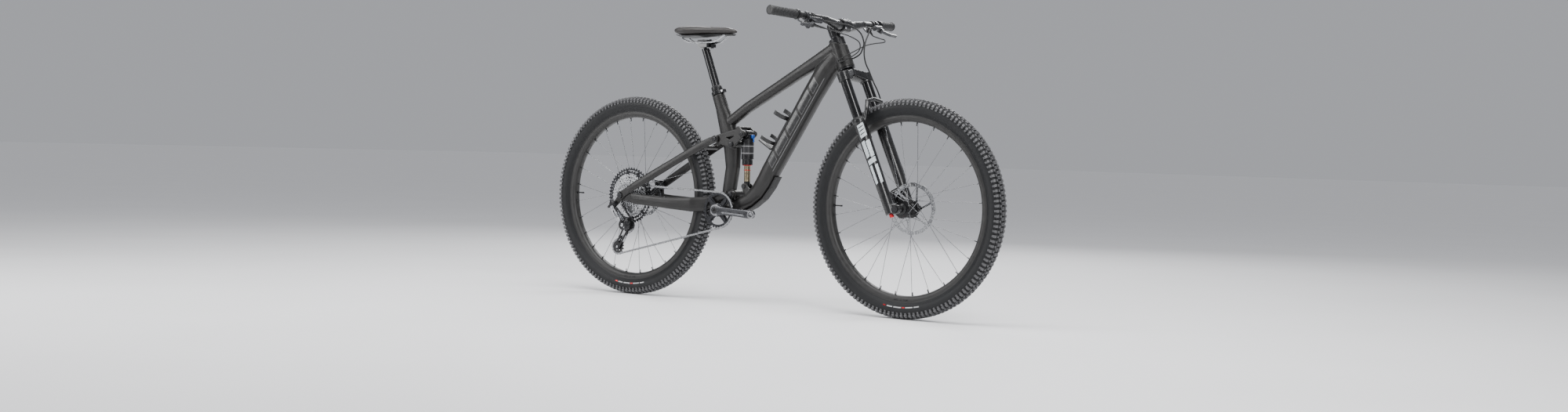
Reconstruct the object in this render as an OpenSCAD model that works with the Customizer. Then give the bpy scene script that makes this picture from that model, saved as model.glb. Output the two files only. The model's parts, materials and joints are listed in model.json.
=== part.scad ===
// Full-suspension mountain bike with 29 inch wheels, a 120 mm fork and 115 mm of rear travel.
// Millimetres. X points forward, Y to the rider's left, Z up. Inside the modules X is counted
// from the rear axle; on_bike() then puts the origin on the ground midway between the wheels.
// Points written [x, z] lie in the bike's middle plane. steer() is the frame of the steering
// axis: its Z runs up the fork from beside the front axle, its X forward, its Y to the left.

/* [Wheels] */
// Distance between the two axles
wheelbase = 1198; // [1196:1:1200]
// Radius of the tyres at the knob tips
tyre_r = 372; // [370:1:374]
// Width of the tyres
tyre_w = 60; // [58:1:62]
// Outer radius of the rim flanges
rim_r = 316; // [315:1:316]
// Spokes in each wheel
spoke_count = 28; // [24:4:32]
// Radius of one spoke
spoke_r = 0.9; // [0.7:0.1:1]
// Radius of the front brake rotor
front_rotor_r = 90; // [80:5:90]
// Radius of the rear brake rotor
rear_rotor_r = 80; // [70:5:80]

/* [Fork and steering] */
// Angle of the steering axis above the ground, in degrees
head_angle = 66; // [65.5:0.5:66.5]
// How far the front axle sits ahead of the steering axis
fork_offset = 44; // [43:1:45]
// Radius of the fork's sliding tubes
stanchion_r = 17.5; // [17:0.5:17.5]
// Sideways distance of each fork leg from the middle
leg_y = 66; // [65:1:67]
// Suspension travel of the fork
fork_travel = 120; // [100:5:120]
// Length of the stem
stem_len = 44.5; // [40:0.5:45]

/* [Drivetrain] */
// Length of a crank arm
crank_len = 170; // [165:2.5:175]
// How far the right crank arm points below level, in degrees
crank_dip = 3; // [0:1:6]
// Teeth on the chainring
ring_teeth = 32; // [30:2:32]
// Sideways place of the chain
chain_y = -50; // [-50:0.5:-49]
// Sideways distance between neighbouring sprockets
cog_step = 3.58; // [3.58:0.01:3.62]

/* [Seat] */
// Radius of the sliding tube of the dropper post
post_r = 15; // [14:0.5:15.5]
// Radius of the dropper post's fixed tube
post_outer_r = 17.4; // [17:0.1:17.4]
// Half the width of the saddle
saddle_half_w = 72; // [68:1:75]

/* [Frame] */
// Wall thickness of the carbon tubes
frame_wall = 3; // [2.5:0.5:3.5]
// Half the width of the bottom bracket shell
bb_half_w = 46; // [45:1:46]

/* [Hidden] */
$fn = 48;
chain_pitch = 12.7;
running_gap = 0.05;

// Pivots and axles, [x, z].
rear_axle_at = [0, tyre_r];
bb_at = [435, 336];
main_pivot_at = [480, 394];
rocker_pivot_at = [478, 574];
stay_pivot_at = [410, 592];
shock_top_at = [523, 613];
shock_foot_at = [525, 425];
hanger_at = [-30, 339];
guide_at = [13, 262];
tension_at = [-35, 177];
// Sprocket teeth from the smallest to the largest; the chain runs on the sixth.
cog_teeth = [10, 12, 14, 16, 18, 21, 24, 28, 33, 39, 45, 51];
chain_cog = 5;
pulley_teeth = 13;

// Foot of the steering axis beside the front axle.
steer_x = wheelbase - fork_offset * sin(head_angle);
steer_z = tyre_r - fork_offset * cos(head_angle);
leg_x = 19;
// Heights along the steering axis.
lowers_top = 342;
crown_low = 478;
crown_top = 511;
race_top = 531.6;
head_low = 537.4;
head_top = 647;
bar_h = 679.5;

// The dropper post's axis: a point on it, and its angle from +X.
post_at = [382, 761];
post_angle = 111.3;

// Rings of the frame tubes: x, y, z, half width, half depth, angle of the tube.
down_tube = [[440, 0, 338, 23, 24, 8], [490, 0, 350, 24, 27, 20], [545, 0, 377, 26, 29, 36],
    [582, 0, 407, 28, 32, 45], [610, 0, 445, 31, 34, 53], [632, 0, 483, 32, 34, 58],
    [720, 0, 623, 32, 35, 58], [800, 0, 751, 33, 36, 58], [860, 0, 840, 33, 38, 58],
    [905, 0, 890, 29, 35, 62]];
top_tube = [[445, 0, 655, 20, 20, 32], [520, 0, 706, 21, 19.5, 30], [650, 0, 778.5, 22, 20, 30],
    [740, 0, 829, 23, 21, 30], [810, 0, 866.5, 25, 23.5, 29], [880, 0, 903.5, 28, 28, 28],
    [914, 0, 922, 26, 29, 28]];
// Web that fills the corner between the two tubes behind the head.
head_web = [[826, 0, 855, 13, 7, 24], [846, 0, 864, 22, 18, 24], [877, 0, 878, 27, 33, 24],
    [915, 0, 895, 27.3, 38, 24]];
// The frame's top is cut on a slope that falls to the front, under the headset cover.
head_slope = 30;
seat_tube = [[440, 0, 340, 23, 24, 88], [449, 0, 417, 22, 26, 86], [460, 0, 490, 22, 27, 90],
    [456, 0, 560, 24, 33, 100], [440, 0, 612, 24, 34, 110], [421, 0, 660, 23, 29, 111.3],
    [404, 0, 704, 22, 23, 111.3], [385, 0, 751, 21.5, 22, 111.3]];
// Rings of one chainstay and of one seatstay.
chainstay = [[14, 77.2, 371, 2.8, 15, -8], [60, 73, 362, 6, 20, -6], [120, 68, 358, 9, 20, -4],
    [220, 60, 352, 10, 22, -2], [310, 51, 351, 9, 27, 0], [352, 42, 354, 8, 27, 12],
    [388, 35, 364, 7, 23, 26], [425, 34, 382, 6, 16, 26], [462, 34, 394, 6, 14, 10]];
seatstay = [[14, 83.5, 381, 3, 13, 30], [60, 80, 408, 6, 15, 29], [130, 72, 447, 8, 16, 28],
    [232, 61, 503, 8, 15, 29], [330, 51, 556, 6.5, 16, 27], [392, 45.5, 586, 3.5, 14, 24]];
// Rings of the saddle: x, y, z, half width, half depth, angle.
saddle = [for (s = [[203, 986, 0.5, 8], [212, 986, 0.78, 14], [232, 985, 0.97, 18],
        [262, 985, 1, 18], [300, 985, 0.86, 17], [340, 985, 0.6, 15], [380, 985, 0.4, 14],
        [420, 984, 0.31, 13], [448, 982, 0.24, 10], [460, 981, 0.12, 5]])
    [s[0], 0, s[1], s[2] * saddle_half_w, s[3], 0]];
rail_route = [[226, 21, 959], [238, 22, 952], [262, 22, 944], [290, 22, 943], [360, 22, 943],
    [384, 20, 950], [404, 16, 963], [416, 13, 970]];

// Routes of the two brake hoses and the two cables.
rear_hose_route = [[943.6, -158.8, 996.3], [948, -136, 995], [976, -108, 992], [1010, -84, 984],
    [1030, -58, 962], [1028, -32, 930], [1006, -8, 908], [980, 18, 895], [950, 31, 884],
    [929, 33, 880]];
front_hose_route = [[943.6, 158.8, 996.3], [948, 136, 995], [964, 104, 988], [982, 66, 968],
    [988, 38, 936], [990, 30, 900], [994, 34, 868], [1004, 44, 838], [1016, 56, 800],
    [1026, 70, 768], [1030, 88, 730], [1036, 93, 690], [1058, 94, 640], [1100, 94, 545],
    [1130, 92, 478], [1114, 88, 448], [1108, 76, 437], [1102, 62, 430], [1100, 48, 424]];
shift_route = [[931.2, -161.5, 978], [948.6, -142.3, 971.4], [984, -122, 960], [1016, -100, 948],
    [1036, -74, 930], [1020, -46, 906], [990, -36, 888], [958, -36, 874], [931, -34.5, 864]];
dropper_route = [[928.8, 165.2, 979.1], [947.2, 149, 968.2], [984, 134, 958], [1018, 116, 950],
    [1032, 88, 940], [1018, 52, 934], [1006, 12, 924], [984, -20, 904], [957, -38, 886],
    [931, -34, 876]];
hose_r = 2.5;
cable_r = 2;

// ---- shapes shared by the parts ----

module on_bike() {
    translate([-wheelbase / 2, 0, 0]) children();
}

module steer() {
    translate([steer_x, 0, steer_z]) rotate([0, head_angle - 90, 0]) children();
}

module both() {
    children();
    mirror([0, 1, 0]) children();
}

// A rod across the bike, from y0 up to y1.
module rod_y(at, r, y0, y1) {
    translate([at[0], y1, at[1]]) rotate([90, 0, 0]) cylinder(r = r, h = y1 - y0);
}

// A flat plate with its outline in the XZ plane, from y0 up to y1.
module plate(outline, y0, y1) {
    translate([0, y1, 0]) rotate([90, 0, 0]) linear_extrude(y1 - y0) polygon(outline);
}

// A rod between two points in space.
module rod(p, q, r1, r2) {
    v = q - p;
    translate(p) rotate([0, acos(v[2] / norm(v)), atan2(v[1], v[0])])
        cylinder(r1 = r1, r2 = r2, h = norm(v));
}

function polar(a) = [cos(a), sin(a)];
function arc(at, r, a0, a1, n) = [for (i = [0:n]) at + r * polar(a0 + (a1 - a0) * i / n)];

// Outline of a bar with round ends of two sizes.
function bar(p, r1, q, r2, n = 9) =
    let (v = q - p, a = atan2(v[1], v[0]), b = acos((r1 - r2) / norm(v)))
    concat(arc(q, r2, a - b, a + b, n), arc(p, r1, a + b, a + 360 - b, n));

function unit(v) = v / norm(v);
function level(v, e) = sign(v) * pow(abs(v), e);

// One ring of a tube: a rounded rectangle across the tube's direction.
function tube_ring(s, grow, n) = [for (i = [0:n - 1])
    let (t = 360 * i / n, u = (s[3] + grow) * level(cos(t), 0.8),
        w = (s[4] + grow) * level(sin(t), 0.8))
    [s[0] - w * sin(s[5]), s[1] + u, s[2] + w * cos(s[5])]];

// A closed skin over rings of n points each.
module skin(rings, n) {
    last = len(rings) - 1;
    sides = [for (k = [0:last - 1]) for (i = [0:n - 1])
        let (j = (i + 1) % n, a = k * n, b = a + n)
        each [[a + i, b + i, b + j], [a + i, b + j, a + j]]];
    polyhedron(points = [for (r = rings) each r], faces = concat(sides,
        [[for (i = [0:n - 1]) i]], [[for (i = [0:n - 1]) last * n + n - 1 - i]]));
}

module tube(sections, grow = 0, n = 16) {
    skin([for (s = sections) tube_ring(s, grow, n)], n);
}

// A smooth curve through the points of a route.
function blend4(a, b, c, d, t) = 0.5 * (2 * b + (c - a) * t
    + (2 * a - 5 * b + 4 * c - d) * t * t + (3 * b - a - 3 * c + d) * t * t * t);
function smooth(p, k) = let (m = len(p) - 1) concat([for (i = [0:m - 1]) for (j = [0:k - 1])
    blend4(p[max(i - 1, 0)], p[i], p[i + 1], p[min(i + 2, m)], j / k)], [p[m]]);
function heading(p, i) = unit(p[min(i + 1, len(p) - 1)] - p[max(i - 1, 0)]);
function square_to(v, t) = unit(v - (v * t) * t);

// A round cord of radius r swept along a smooth curve through the route.
module cord(route, r, k = 2, n = 8) {
    p = smooth(route, k);
    sides = [for (i = 0, v = square_to([0.3, 0.2, 1], heading(p, 0)); i < len(p);
        i = i + 1, v = i < len(p) ? square_to(v, heading(p, i)) : v) v];
    skin([for (i = [0:len(p) - 1]) let (v = sides[i], w = cross(heading(p, i), v))
        [for (s = [0:n - 1]) p[i] + r * (cos(360 * s / n) * v + sin(360 * s / n) * w)]], n);
}

// Radius of a sprocket's pitch circle.
function pitch_r(teeth) = chain_pitch / 2 / sin(180 / teeth);

// A toothed disc, with a tooth gap pointing along phase.
function teeth_outline(at, teeth, phase = 0, tip = 2.4, root = 3.4) = [for (i = [0:teeth - 1])
    let (a = phase + 360 * (i + 0.5) / teeth, s = 360 / teeth)
    each [at + (pitch_r(teeth) - root) * polar(a - 0.32 * s), at + (pitch_r(teeth) + tip) * polar(a - 0.1 * s),
        at + (pitch_r(teeth) + tip) * polar(a + 0.1 * s), at + (pitch_r(teeth) - root) * polar(a + 0.32 * s)]];

// ---- wheels; each is drawn round the Y axis ----

tyre_mid_r = 341;
tyre_rise = tyre_r - tyre_mid_r;
tyre_wall = 4;
function tyre_arc(inset, a0, a1, n) = [for (i = [0:n]) let (a = a0 + (a1 - a0) * i / n)
    [tyre_mid_r + (tyre_rise - inset) * sin(a), (tyre_w / 2 - inset) * cos(a)]];

module tyre() {
    rotate([90, 0, 0]) rotate_extrude($fn = 96)
        polygon(concat(tyre_arc(0, -52, 232, 18), tyre_arc(tyre_wall, 244, -64, 16)));
}

module rim() {
    profile = [[rim_r, 18], [rim_r, 15], [309, 14.6], [306, 11], [306, -11], [309, -14.6],
        [rim_r, -15], [rim_r, -18], [306, -18.4], [293, -12], [293, 12], [306, 18.4]];
    cavity = [[303.4, 13.6], [303.4, -13.6], [296, -10], [296, 10]];
    rotate([90, 0, 0]) rotate_extrude($fn = 96) difference() {
        polygon(profile);
        polygon(cavity);
    }
}

spoke_hub_r = 28;
spoke_rim_r = 293.6;
spoke_rim_y = 2.5;
spoke_lead = 74;
spoke_offset = 2.6;

// Spokes alternate between the two flanges, and on each flange between pulling and pushing.
module spokes(left_y, right_y) {
    for (i = [0:spoke_count - 1]) {
        a = 360 * i / spoke_count + 180 / spoke_count;
        side = i % 2 == 0 ? 1 : -1;
        pull = floor(i / 2) % 2 == 0 ? 1 : -1;
        h = a + pull * spoke_lead;
        y = (side > 0 ? left_y : right_y) + pull * spoke_offset;
        rod([spoke_hub_r * cos(h), y, spoke_hub_r * sin(h)],
            [spoke_rim_r * cos(a), side * spoke_rim_y, spoke_rim_r * sin(a)], spoke_r, spoke_r);
    }
}

// A disc brake rotor of radius r at height y, with a splined carrier.
module rotor(r, y, bore, arms = 6) {
    carrier_r = bore + 5;
    difference() {
        union() {
            rod_y([0, 0], r, y - 0.9, y + 0.9);
            rod_y([0, 0], carrier_r, y - 2, y + 3);
        }
        difference() {
            rod_y([0, 0], r - 15, y - 1, y + 1);
            rod_y([0, 0], carrier_r - 1, y - 3, y + 4);
            for (i = [0:arms - 1]) {
                plate(bar(carrier_r * 0.7 * polar(i * 360 / arms), 5,
                    (r - 11) * polar(i * 360 / arms + 16), 4), y - 2, y + 2);
            }
        }
        rod_y([0, 0], bore, y - 5, y + 5);
        for (i = [0:2 * arms - 1]) {
            rod_y((r - 7.5) * polar(i * 180 / arms), 3, y - 2, y + 2);
        }
    }
}

module at_rear() {
    on_bike() translate([0, 0, tyre_r]) children();
}

module at_front() {
    on_bike() translate([wheelbase, 0, tyre_r]) children();
}

front_end_y = 55;
rear_end_y = 74;
front_axle_r = 7.5;
axle_head_r = 11;
rear_axle_r = 6;
front_rotor_y = 38;
rear_rotor_y = 57;
front_flange_y = 27;
rear_left_flange_y = 34;
rear_right_flange_y = -20;

module front_tyre() {
    at_front() color("#2a2b2d") tyre();
}

module front_rim() {
    at_front() color("#3a3a3d") rim();
}

module front_spokes() {
    at_front() color("#b9bcc0") spokes(front_flange_y, -front_flange_y);
}

module front_hub() {
    at_front() color("#18181a") difference() {
        union() {
            rod_y([0, 0], 15, -front_flange_y, front_flange_y);
            both() rod_y([0, 0], 32, front_flange_y - 1.5, front_flange_y + 1.5);
            both() rod_y([0, 0], 19, front_flange_y - 8, front_flange_y + 6);
            rod_y([0, 0], 19, 30, front_rotor_y + 3);
            rod_y([0, 0], 12, 1.7 - front_end_y, front_end_y - 1.7);
            rod_y([0, 0], 10, 0.3 - front_end_y, front_end_y - 0.3);
        }
        rod_y([0, 0], front_axle_r + running_gap, -60, 60);
    }
}

module front_rotor() {
    at_front() color("#c9cbce") rotor(front_rotor_r, front_rotor_y, 19);
}

module rear_tyre() {
    at_rear() color("#2a2b2d") tyre();
}

module rear_rim() {
    at_rear() color("#3a3a3d") rim();
}

module rear_spokes() {
    at_rear() color("#b9bcc0") spokes(rear_left_flange_y, rear_right_flange_y);
}

module rear_hub() {
    at_rear() color("#18181a") difference() {
        union() {
            rod_y([0, 0], 16, rear_right_flange_y, rear_left_flange_y);
            rod_y([0, 0], 32, rear_right_flange_y - 1.5, rear_right_flange_y + 1.5);
            rod_y([0, 0], 32, rear_left_flange_y - 1.5, rear_left_flange_y + 1.5);
            rod_y([0, 0], 19, rear_right_flange_y - 2, rear_right_flange_y + 9);
            rod_y([0, 0], 19, rear_left_flange_y, rear_rotor_y + 3);
            rod_y([0, 0], 11, rear_left_flange_y, rear_end_y - 0.3);
        }
        rod_y([0, 0], rear_axle_r + running_gap, -80, 80);
    }
}

module rear_rotor() {
    at_rear() color("#c9cbce") rotor(rear_rotor_r, rear_rotor_y, 19);
}

module rear_axle() {
    at_rear() color("#1b1b1d") {
        rod_y([0, 0], rear_axle_r, -89, 89);
        rod_y([0, 0], 10, 87.4, 91);
        rod_y([0, 0], 10, -91, -87.4);
    }
}

module front_axle() {
    at_front() color("#1b1b1d") {
        rod_y([0, 0], front_axle_r, -74, 74);
        rod_y([0, 0], axle_head_r, -78, -74.2);
    }
}

// ---- the front triangle ----

module post_line() {
    translate([post_at[0], 0, post_at[1]]) rotate([0, 90 - post_angle, 0]) children();
}

module frame_bores() {
    steer() translate([0, 0, head_low - 10]) cylinder(r = 22, h = 130);
    steer() translate([0, 0, head_low - 1]) cylinder(r = 27, h = 12.6);
    steer() translate([0, 0, head_top - 11]) cylinder(r = 25, h = 12);
    post_line() translate([0, 0, -174]) cylinder(r = post_outer_r + running_gap, h = 180);
    rod_y(bb_at, 20.5, -60, 60);
    rod_y(main_pivot_at, 8, -60, 60);
    rod_y(rocker_pivot_at, 7, -60, 60);
    rod_y(shock_foot_at, 5, -60, 60);
}

module main_frame() {
    on_bike() color("#4a4a4c") difference() {
        union() {
            difference() {
                union() {
                    tube(down_tube, 0, 20);
                    tube(top_tube);
                    tube(seat_tube);
                }
                tube([for (i = [2:8]) down_tube[i]], -frame_wall, 12);
                tube([for (i = [1:4]) top_tube[i]], -frame_wall, 12);
                tube([for (i = [1:3]) seat_tube[i]], -frame_wall, 12);
            }
            tube(head_web);
            steer() translate([0, 0, head_low])
                cylinder(r1 = 31, r2 = 28.5, h = head_top - head_low);
            rod_y(bb_at, 24, -bb_half_w, bb_half_w);
            rod_y(main_pivot_at, 15, -27, 27);
            rod_y(rocker_pivot_at, 13, -31, 31);
            both() plate(bar([546, 398], 16, shock_foot_at, 11), 13.5, 21);
        }
        frame_bores();
        steer() above_slope(0);
        plate([[505, 413], [505, 450], [545, 450], [548, 424], [530, 409]], -13, 13);
    }
}

module above_slope(lift) {
    translate([-19, 0, head_top + lift]) rotate([0, head_slope, 0])
        translate([-60, -60, 0]) cube([150, 120, 80]);
}

module frame_bearings() {
    on_bike() color("#1d1d1f") {
        steer() difference() {
            union() {
                translate([0, 0, head_low - 5.4]) cylinder(r = 30, h = 5.4);
                translate([0, 0, head_low - 1]) cylinder(r = 27, h = 12.6);
            }
            translate([0, 0, head_low - 10]) cylinder(r = 14.8, h = 40);
        }
        steer() difference() {
            union() {
                translate([0, 0, head_top - 11]) cylinder(r = 25, h = 11.5);
                translate([0, 0, head_top]) cylinder(r = 27.5, h = 1);
                intersection() {
                    translate([0, 0, head_top - 34]) cylinder(r1 = 27.8, r2 = 27, h = 34.6);
                    above_slope(0.3);
                }
            }
            translate([0, 0, head_top - 40]) cylinder(r = 14.8, h = 60);
        }
        both() difference() {
            union() {
                rod_y(bb_at, 20.5, bb_half_w - 11, bb_half_w);
                rod_y(bb_at, 22.5, bb_half_w, bb_half_w + 1.4);
            }
            rod_y(bb_at, 12 + running_gap, 10, 60);
        }
    }
}

module pivot_axles() {
    on_bike() color("#2c2c2e") {
        rod_y(main_pivot_at, 8, -42, 42);
        both() rod_y(main_pivot_at, 11, 40.6, 43.5);
        rod_y(rocker_pivot_at, 7, -42, 42);
        both() rod_y(rocker_pivot_at, 10, 40.4, 43);
        rod_y(shock_foot_at, 5, -24, 24);
        both() rod_y(shock_foot_at, 8, 21.2, 24);
    }
}

module seat_clamp() {
    on_bike() color("#202022") post_line() difference() {
        union() {
            translate([0, 0, -9.5]) cylinder(r = 24, h = 13);
            translate([16, -9, -9.5]) cube([16, 18, 13]);
        }
        translate([0, 0, -20]) cylinder(r = post_outer_r, h = 40);
        translate([15, -1, -20]) cube([30, 2, 40]);
    }
}

module post_outer() {
    on_bike() color("#141415") post_line() difference() {
        union() {
            translate([0, 0, -172]) cylinder(r = post_outer_r, h = 190);
            translate([0, 0, 4]) cylinder(r = 20, h = 20);
        }
        translate([0, 0, -180]) cylinder(r = post_r + running_gap, h = 220);
    }
}

// The down tube's own frame: X along the tube, Z away from it towards the bottle.
module on_down_tube() {
    translate([632, 0, 483]) rotate([0, -58, 0]) children();
}

bottle_r = 37.5;
bottle_h = 76;

module cage_hoop(at, width, open) {
    translate([at, 0, bottle_h]) rotate([0, 90, 0]) rotate([0, 0, open])
        rotate_extrude(angle = 220) translate([bottle_r, 0]) square([3, width]);
}

module bottle_cage() {
    on_bike() color("#161617") on_down_tube() {
        difference() {
            union() {
                translate([70, -10, 35.3]) cube([146, 20, 4]);
                cage_hoop(84, 14, -100);
                cage_hoop(188, 16, -100);
                translate([66, -22, 35.3]) cube([5, 44, 60]);
            }
            for (x = [112, 176]) {
                translate([x, 0, 30]) cylinder(r = 2.6, h = 20);
            }
        }
        for (x = [112, 176]) {
            translate([x, 0, 34.9]) cylinder(r = 2.5, h = 5);
            translate([x, 0, 39.5]) cylinder(r = 4.5, h = 2);
        }
    }
}

// A guard plate just below the lower end of the down tube.
module downtube_guard() {
    rings = [for (i = [1:5]) let (s = down_tube[i], d = s[4] + 3.8)
        [s[0] + d * sin(s[5]), 0, s[2] - d * cos(s[5]), 22, 2.5, s[5]]];
    on_bike() color("#2b2b2c") tube(rings, 0, 12);
}

// ---- saddle and dropper post ----

module post_inner() {
    on_bike() color("#0f0f10") {
        post_line() difference() {
            translate([0, 0, -16]) cylinder(r = post_r, h = 188);
            translate([0, 0, -17]) cylinder(r = post_r - 2.5, h = 180);
        }
        translate([300, -9, 922]) cube([50, 18, 14]);
        both() translate([305, 8, 926]) cube([40, 20, 12.6]);
    }
}

module saddle_clamp() {
    on_bike() color("#2a2a2c") {
        both() translate([303, 15, 947.2]) cube([44, 13, 5]);
        translate([303, -14, 947.2]) cube([44, 28, 3.5]);
        for (x = [309, 341]) {
            translate([x, 0, 937]) cylinder(r = 2.5, h = 10);
            translate([x, 0, 950.9]) cylinder(r = 4.5, h = 4);
        }
    }
}

module saddle_rails() {
    on_bike() color("#c4c6c9") both() cord(rail_route, 3.5, 2, 10);
}

shell_drop = 3.4;

module saddle_shell() {
    rings = [for (i = [1:8]) let (s = saddle[i])
        [s[0], 0, s[2] - s[4] - shell_drop, s[3] * 0.72, 2.8, 0]];
    on_bike() color("#161616") tube(rings, 0, 16);
}

module saddle_cover() {
    on_bike() color("#3c3836") tube(saddle, 0, 24);
}

// ---- fork and cockpit, drawn in the steering frame ----

module at_steer() {
    on_bike() steer() children();
}

module fork_crown() {
    at_steer() color("#1a1a1c") difference() {
        union() {
            translate([0, 0, 506]) cylinder(r = 14.3, h = 193);
            translate([0, 0, 504]) cylinder(r = 27, h = 22);
            translate([0, 0, 526]) cylinder(r1 = 27, r2 = 23, h = race_top - 526);
            both() hull() {
                translate([2, 8, 506]) cylinder(r = 24, h = 19, $fn = 32);
                translate([leg_x, leg_y, crown_low + 6]) cylinder(r = 20, h = 25, $fn = 32);
            }
            both() translate([leg_x, leg_y, crown_low]) cylinder(r = 22, h = crown_top - crown_low);
        }
        translate([0, 0, 500]) cylinder(r = 11.5, h = 210);
        both() translate([leg_x, leg_y, crown_low - 10]) cylinder(r = stanchion_r, h = 39);
    }
}

module fork_stanchions() {
    at_steer() color("#0c0c0d") both() translate([leg_x, leg_y, 212]) difference() {
        cylinder(r = stanchion_r, h = crown_top - 4 - 212);
        translate([0, 0, -1]) cylinder(r = stanchion_r - 2, h = 280);
    }
}

module fork_lowers() {
    arch = [[36, 63, 322], [58, 56, 362], [61, 42, 388], [62, 0, 396]];
    at_steer() color("#161617") difference() {
        union() {
            both() translate([leg_x, leg_y, -8]) cylinder(r1 = 18, r2 = 21.5, h = 278);
            both() translate([leg_x, leg_y, 270]) cylinder(r = 21.5, h = 66);
            both() translate([leg_x, leg_y, 322]) cylinder(r = 23, h = 14);
            both() for (i = [0:2]) {
                hull() {
                    translate(arch[i]) sphere(r = 8, $fn = 16);
                    translate(arch[i + 1]) sphere(r = 7, $fn = 16);
                }
            }
            both() plate(bar([leg_x, 10], 17, [fork_offset, 0], 16), front_end_y + 0.3, 74);
            translate([-6, 46, 38]) cube([14, 14, 48]);
        }
        both() translate([leg_x, leg_y, 90]) cylinder(r = stanchion_r + running_gap, h = 310);
        rod_y([fork_offset, 0], 24, -front_end_y - 0.3, front_end_y + 0.3);
        rod_y([fork_offset, 0], front_axle_r + running_gap, -90, 90);
        rod_y([fork_offset, 0], axle_head_r + 0.4, -100, -74.1);
        both() translate([leg_x, leg_y, 336]) cylinder(r = 22.2, h = lowers_top - 335);
        translate([leg_x, -leg_y, -10]) cylinder(r = 3 + running_gap, h = 14);
        translate([leg_x, -leg_y, -22]) cylinder(r = 8.3, h = 14);
    }
}

module fork_seals() {
    at_steer() color("#0b0b0b") both() translate([leg_x, leg_y, 336]) difference() {
        cylinder(r1 = 22, r2 = 20.5, h = lowers_top - 336);
        translate([0, 0, -1]) cylinder(r = stanchion_r + running_gap, h = 10);
    }
}

module rebound_knob() {
    at_steer() color("#c01f2c") translate([leg_x, -leg_y, -20]) {
        cylinder(r = 7.5, h = 11.6);
        cylinder(r = 3, h = 20);
    }
}

module front_caliper() {
    at_steer() color("#1c1c1e") difference() {
        union() {
            translate([-34, 28, 40]) cube([27.8, 25, 44]);
            rod([-20, 28, 62], [-20, 24, 62], 11, 10);
            rod([-20, 53, 62], [-20, 57, 62], 12, 11);
        }
        rod_y([fork_offset, 0], front_rotor_r + 2.5, front_rotor_y - 2.2, front_rotor_y + 2.2);
    }
}

module headset_spacers() {
    at_steer() color("#1b1b1c") {
        difference() {
            translate([0, 0, head_top + 1.5]) cylinder(r = 17.5, h = 11);
            translate([0, 0, head_top]) cylinder(r = 14.4, h = 30);
        }
        translate([0, 0, 700.2]) cylinder(r = 17, h = 4);
        translate([0, 0, 704.2]) cylinder(r = 5, h = 2);
    }
}

bar_clamp_r = 17.5;
split_x = stem_len + 7;

module stem_ring() {
    rotate([90, 0, 0]) translate([stem_len, bar_h, -24]) difference() {
        cylinder(r = 23, h = 48);
        translate([0, 0, -1]) cylinder(r = bar_clamp_r, h = 50);
    }
}

module stem() {
    at_steer() color("#171718") difference() {
        union() {
            translate([0, 0, bar_h - 20]) cylinder(r = 19, h = 40);
            translate([0, 0, bar_h - 14]) rotate([0, 90, 0]) translate([-14, 0, 0])
                cylinder(r = 14, h = stem_len - 14);
            translate([0, -14, bar_h - 16]) cube([stem_len - 18, 28, 30]);
            stem_ring();
        }
        translate([0, 0, bar_h - 30]) cylinder(r = 14.4, h = 70);
        rod_y([stem_len, bar_h], bar_clamp_r, -30, 30);
        translate([split_x, -40, bar_h - 40]) cube([40, 80, 80]);
    }
}

module stem_faceplate() {
    at_steer() color("#1c1c1d") difference() {
        stem_ring();
        translate([split_x - 59, -40, bar_h - 40]) cube([60, 80, 80]);
    }
}

// Half of the handlebar, from its middle to one end: x, y, height, radius.
bar_route = [[stem_len, 0, 679.5, 17.5], [stem_len, 48, 679.5, 17.5], [47, 66, 682, 15.5],
    [52.5, 112, 688, 12], [53.5, 136, 690, 11.1], [15.5, 374, 720.5, 11.1]];

module handlebar() {
    at_steer() color("#1b1b1c") both() {
        for (i = [0:len(bar_route) - 2]) {
            p = bar_route[i];
            q = bar_route[i + 1];
            rod([p[0], p[1], p[2]], [q[0], q[1], q[2]], p[3], q[3]);
        }
        for (i = [1:len(bar_route) - 2]) {
            p = bar_route[i];
            translate([p[0], p[1], p[2]]) sphere(r = p[3] * 1.003);
        }
    }
}

// A point of the grip end of the bar, and a frame there whose Z runs along the bar.
grip_slope = [-0.1567, 0.9795, 0.1257];
function bar_point(y) = [53.5, 136, 690] + (y - 136) / grip_slope[1] * grip_slope;

module sleeve(y0, y1, r, bore) {
    difference() {
        rod(bar_point(y0), bar_point(y1), r, r);
        rod(bar_point(y0 - 2), bar_point(y1 + 2), bore, bore);
    }
}

module grips() {
    at_steer() color("#222223") both() {
        sleeve(250, 258, 17.5, 11.3);
        sleeve(258.2, 374, 15.8, 11.3);
        rod(bar_point(374.3), bar_point(377), 16.5, 15);
    }
}

// Frame of one brake lever: X towards the lever, Y outward along the bar, Z above the lever.
lever_y = 212;
lever_tilt = 58; // about the bar, down from straight ahead
bar_sweep = acos(grip_slope[1]);
bar_turn = atan2(grip_slope[2], -grip_slope[0]);

module lever_frame(y = lever_y) {
    translate(bar_point(y)) rotate([0, bar_turn, 0]) rotate([0, 0, bar_sweep])
        rotate([0, lever_tilt - bar_turn, 0]) children();
}

lever_hub = [36, -8];

module brake_body() {
    difference() {
        union() {
            rod([0, -6, 0], [0, 6, 0], 15.5, 15.5);
            rod([24, -52, 3], [24, 8, 3], 9.5, 9.5);
            translate([10, -8, -6]) cube([14, 14, 12]);
            for (z = [-9.2, 6.2]) {
                translate([0, 0, z]) linear_extrude(3) polygon(bar([24, -8], 9, lever_hub, 7));
            }
            rod([24, -58, 3], [24, -52, 3], 5, 5);
        }
        rod([0, -20, 0], [0, 20, 0], 11.4, 11.4);
        translate([28, -20, -5.9]) cube([30, 60, 11.8]);
    }
    translate([lever_hub[0], lever_hub[1], -9.5]) cylinder(r = 2.5, h = 19);
}

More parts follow.
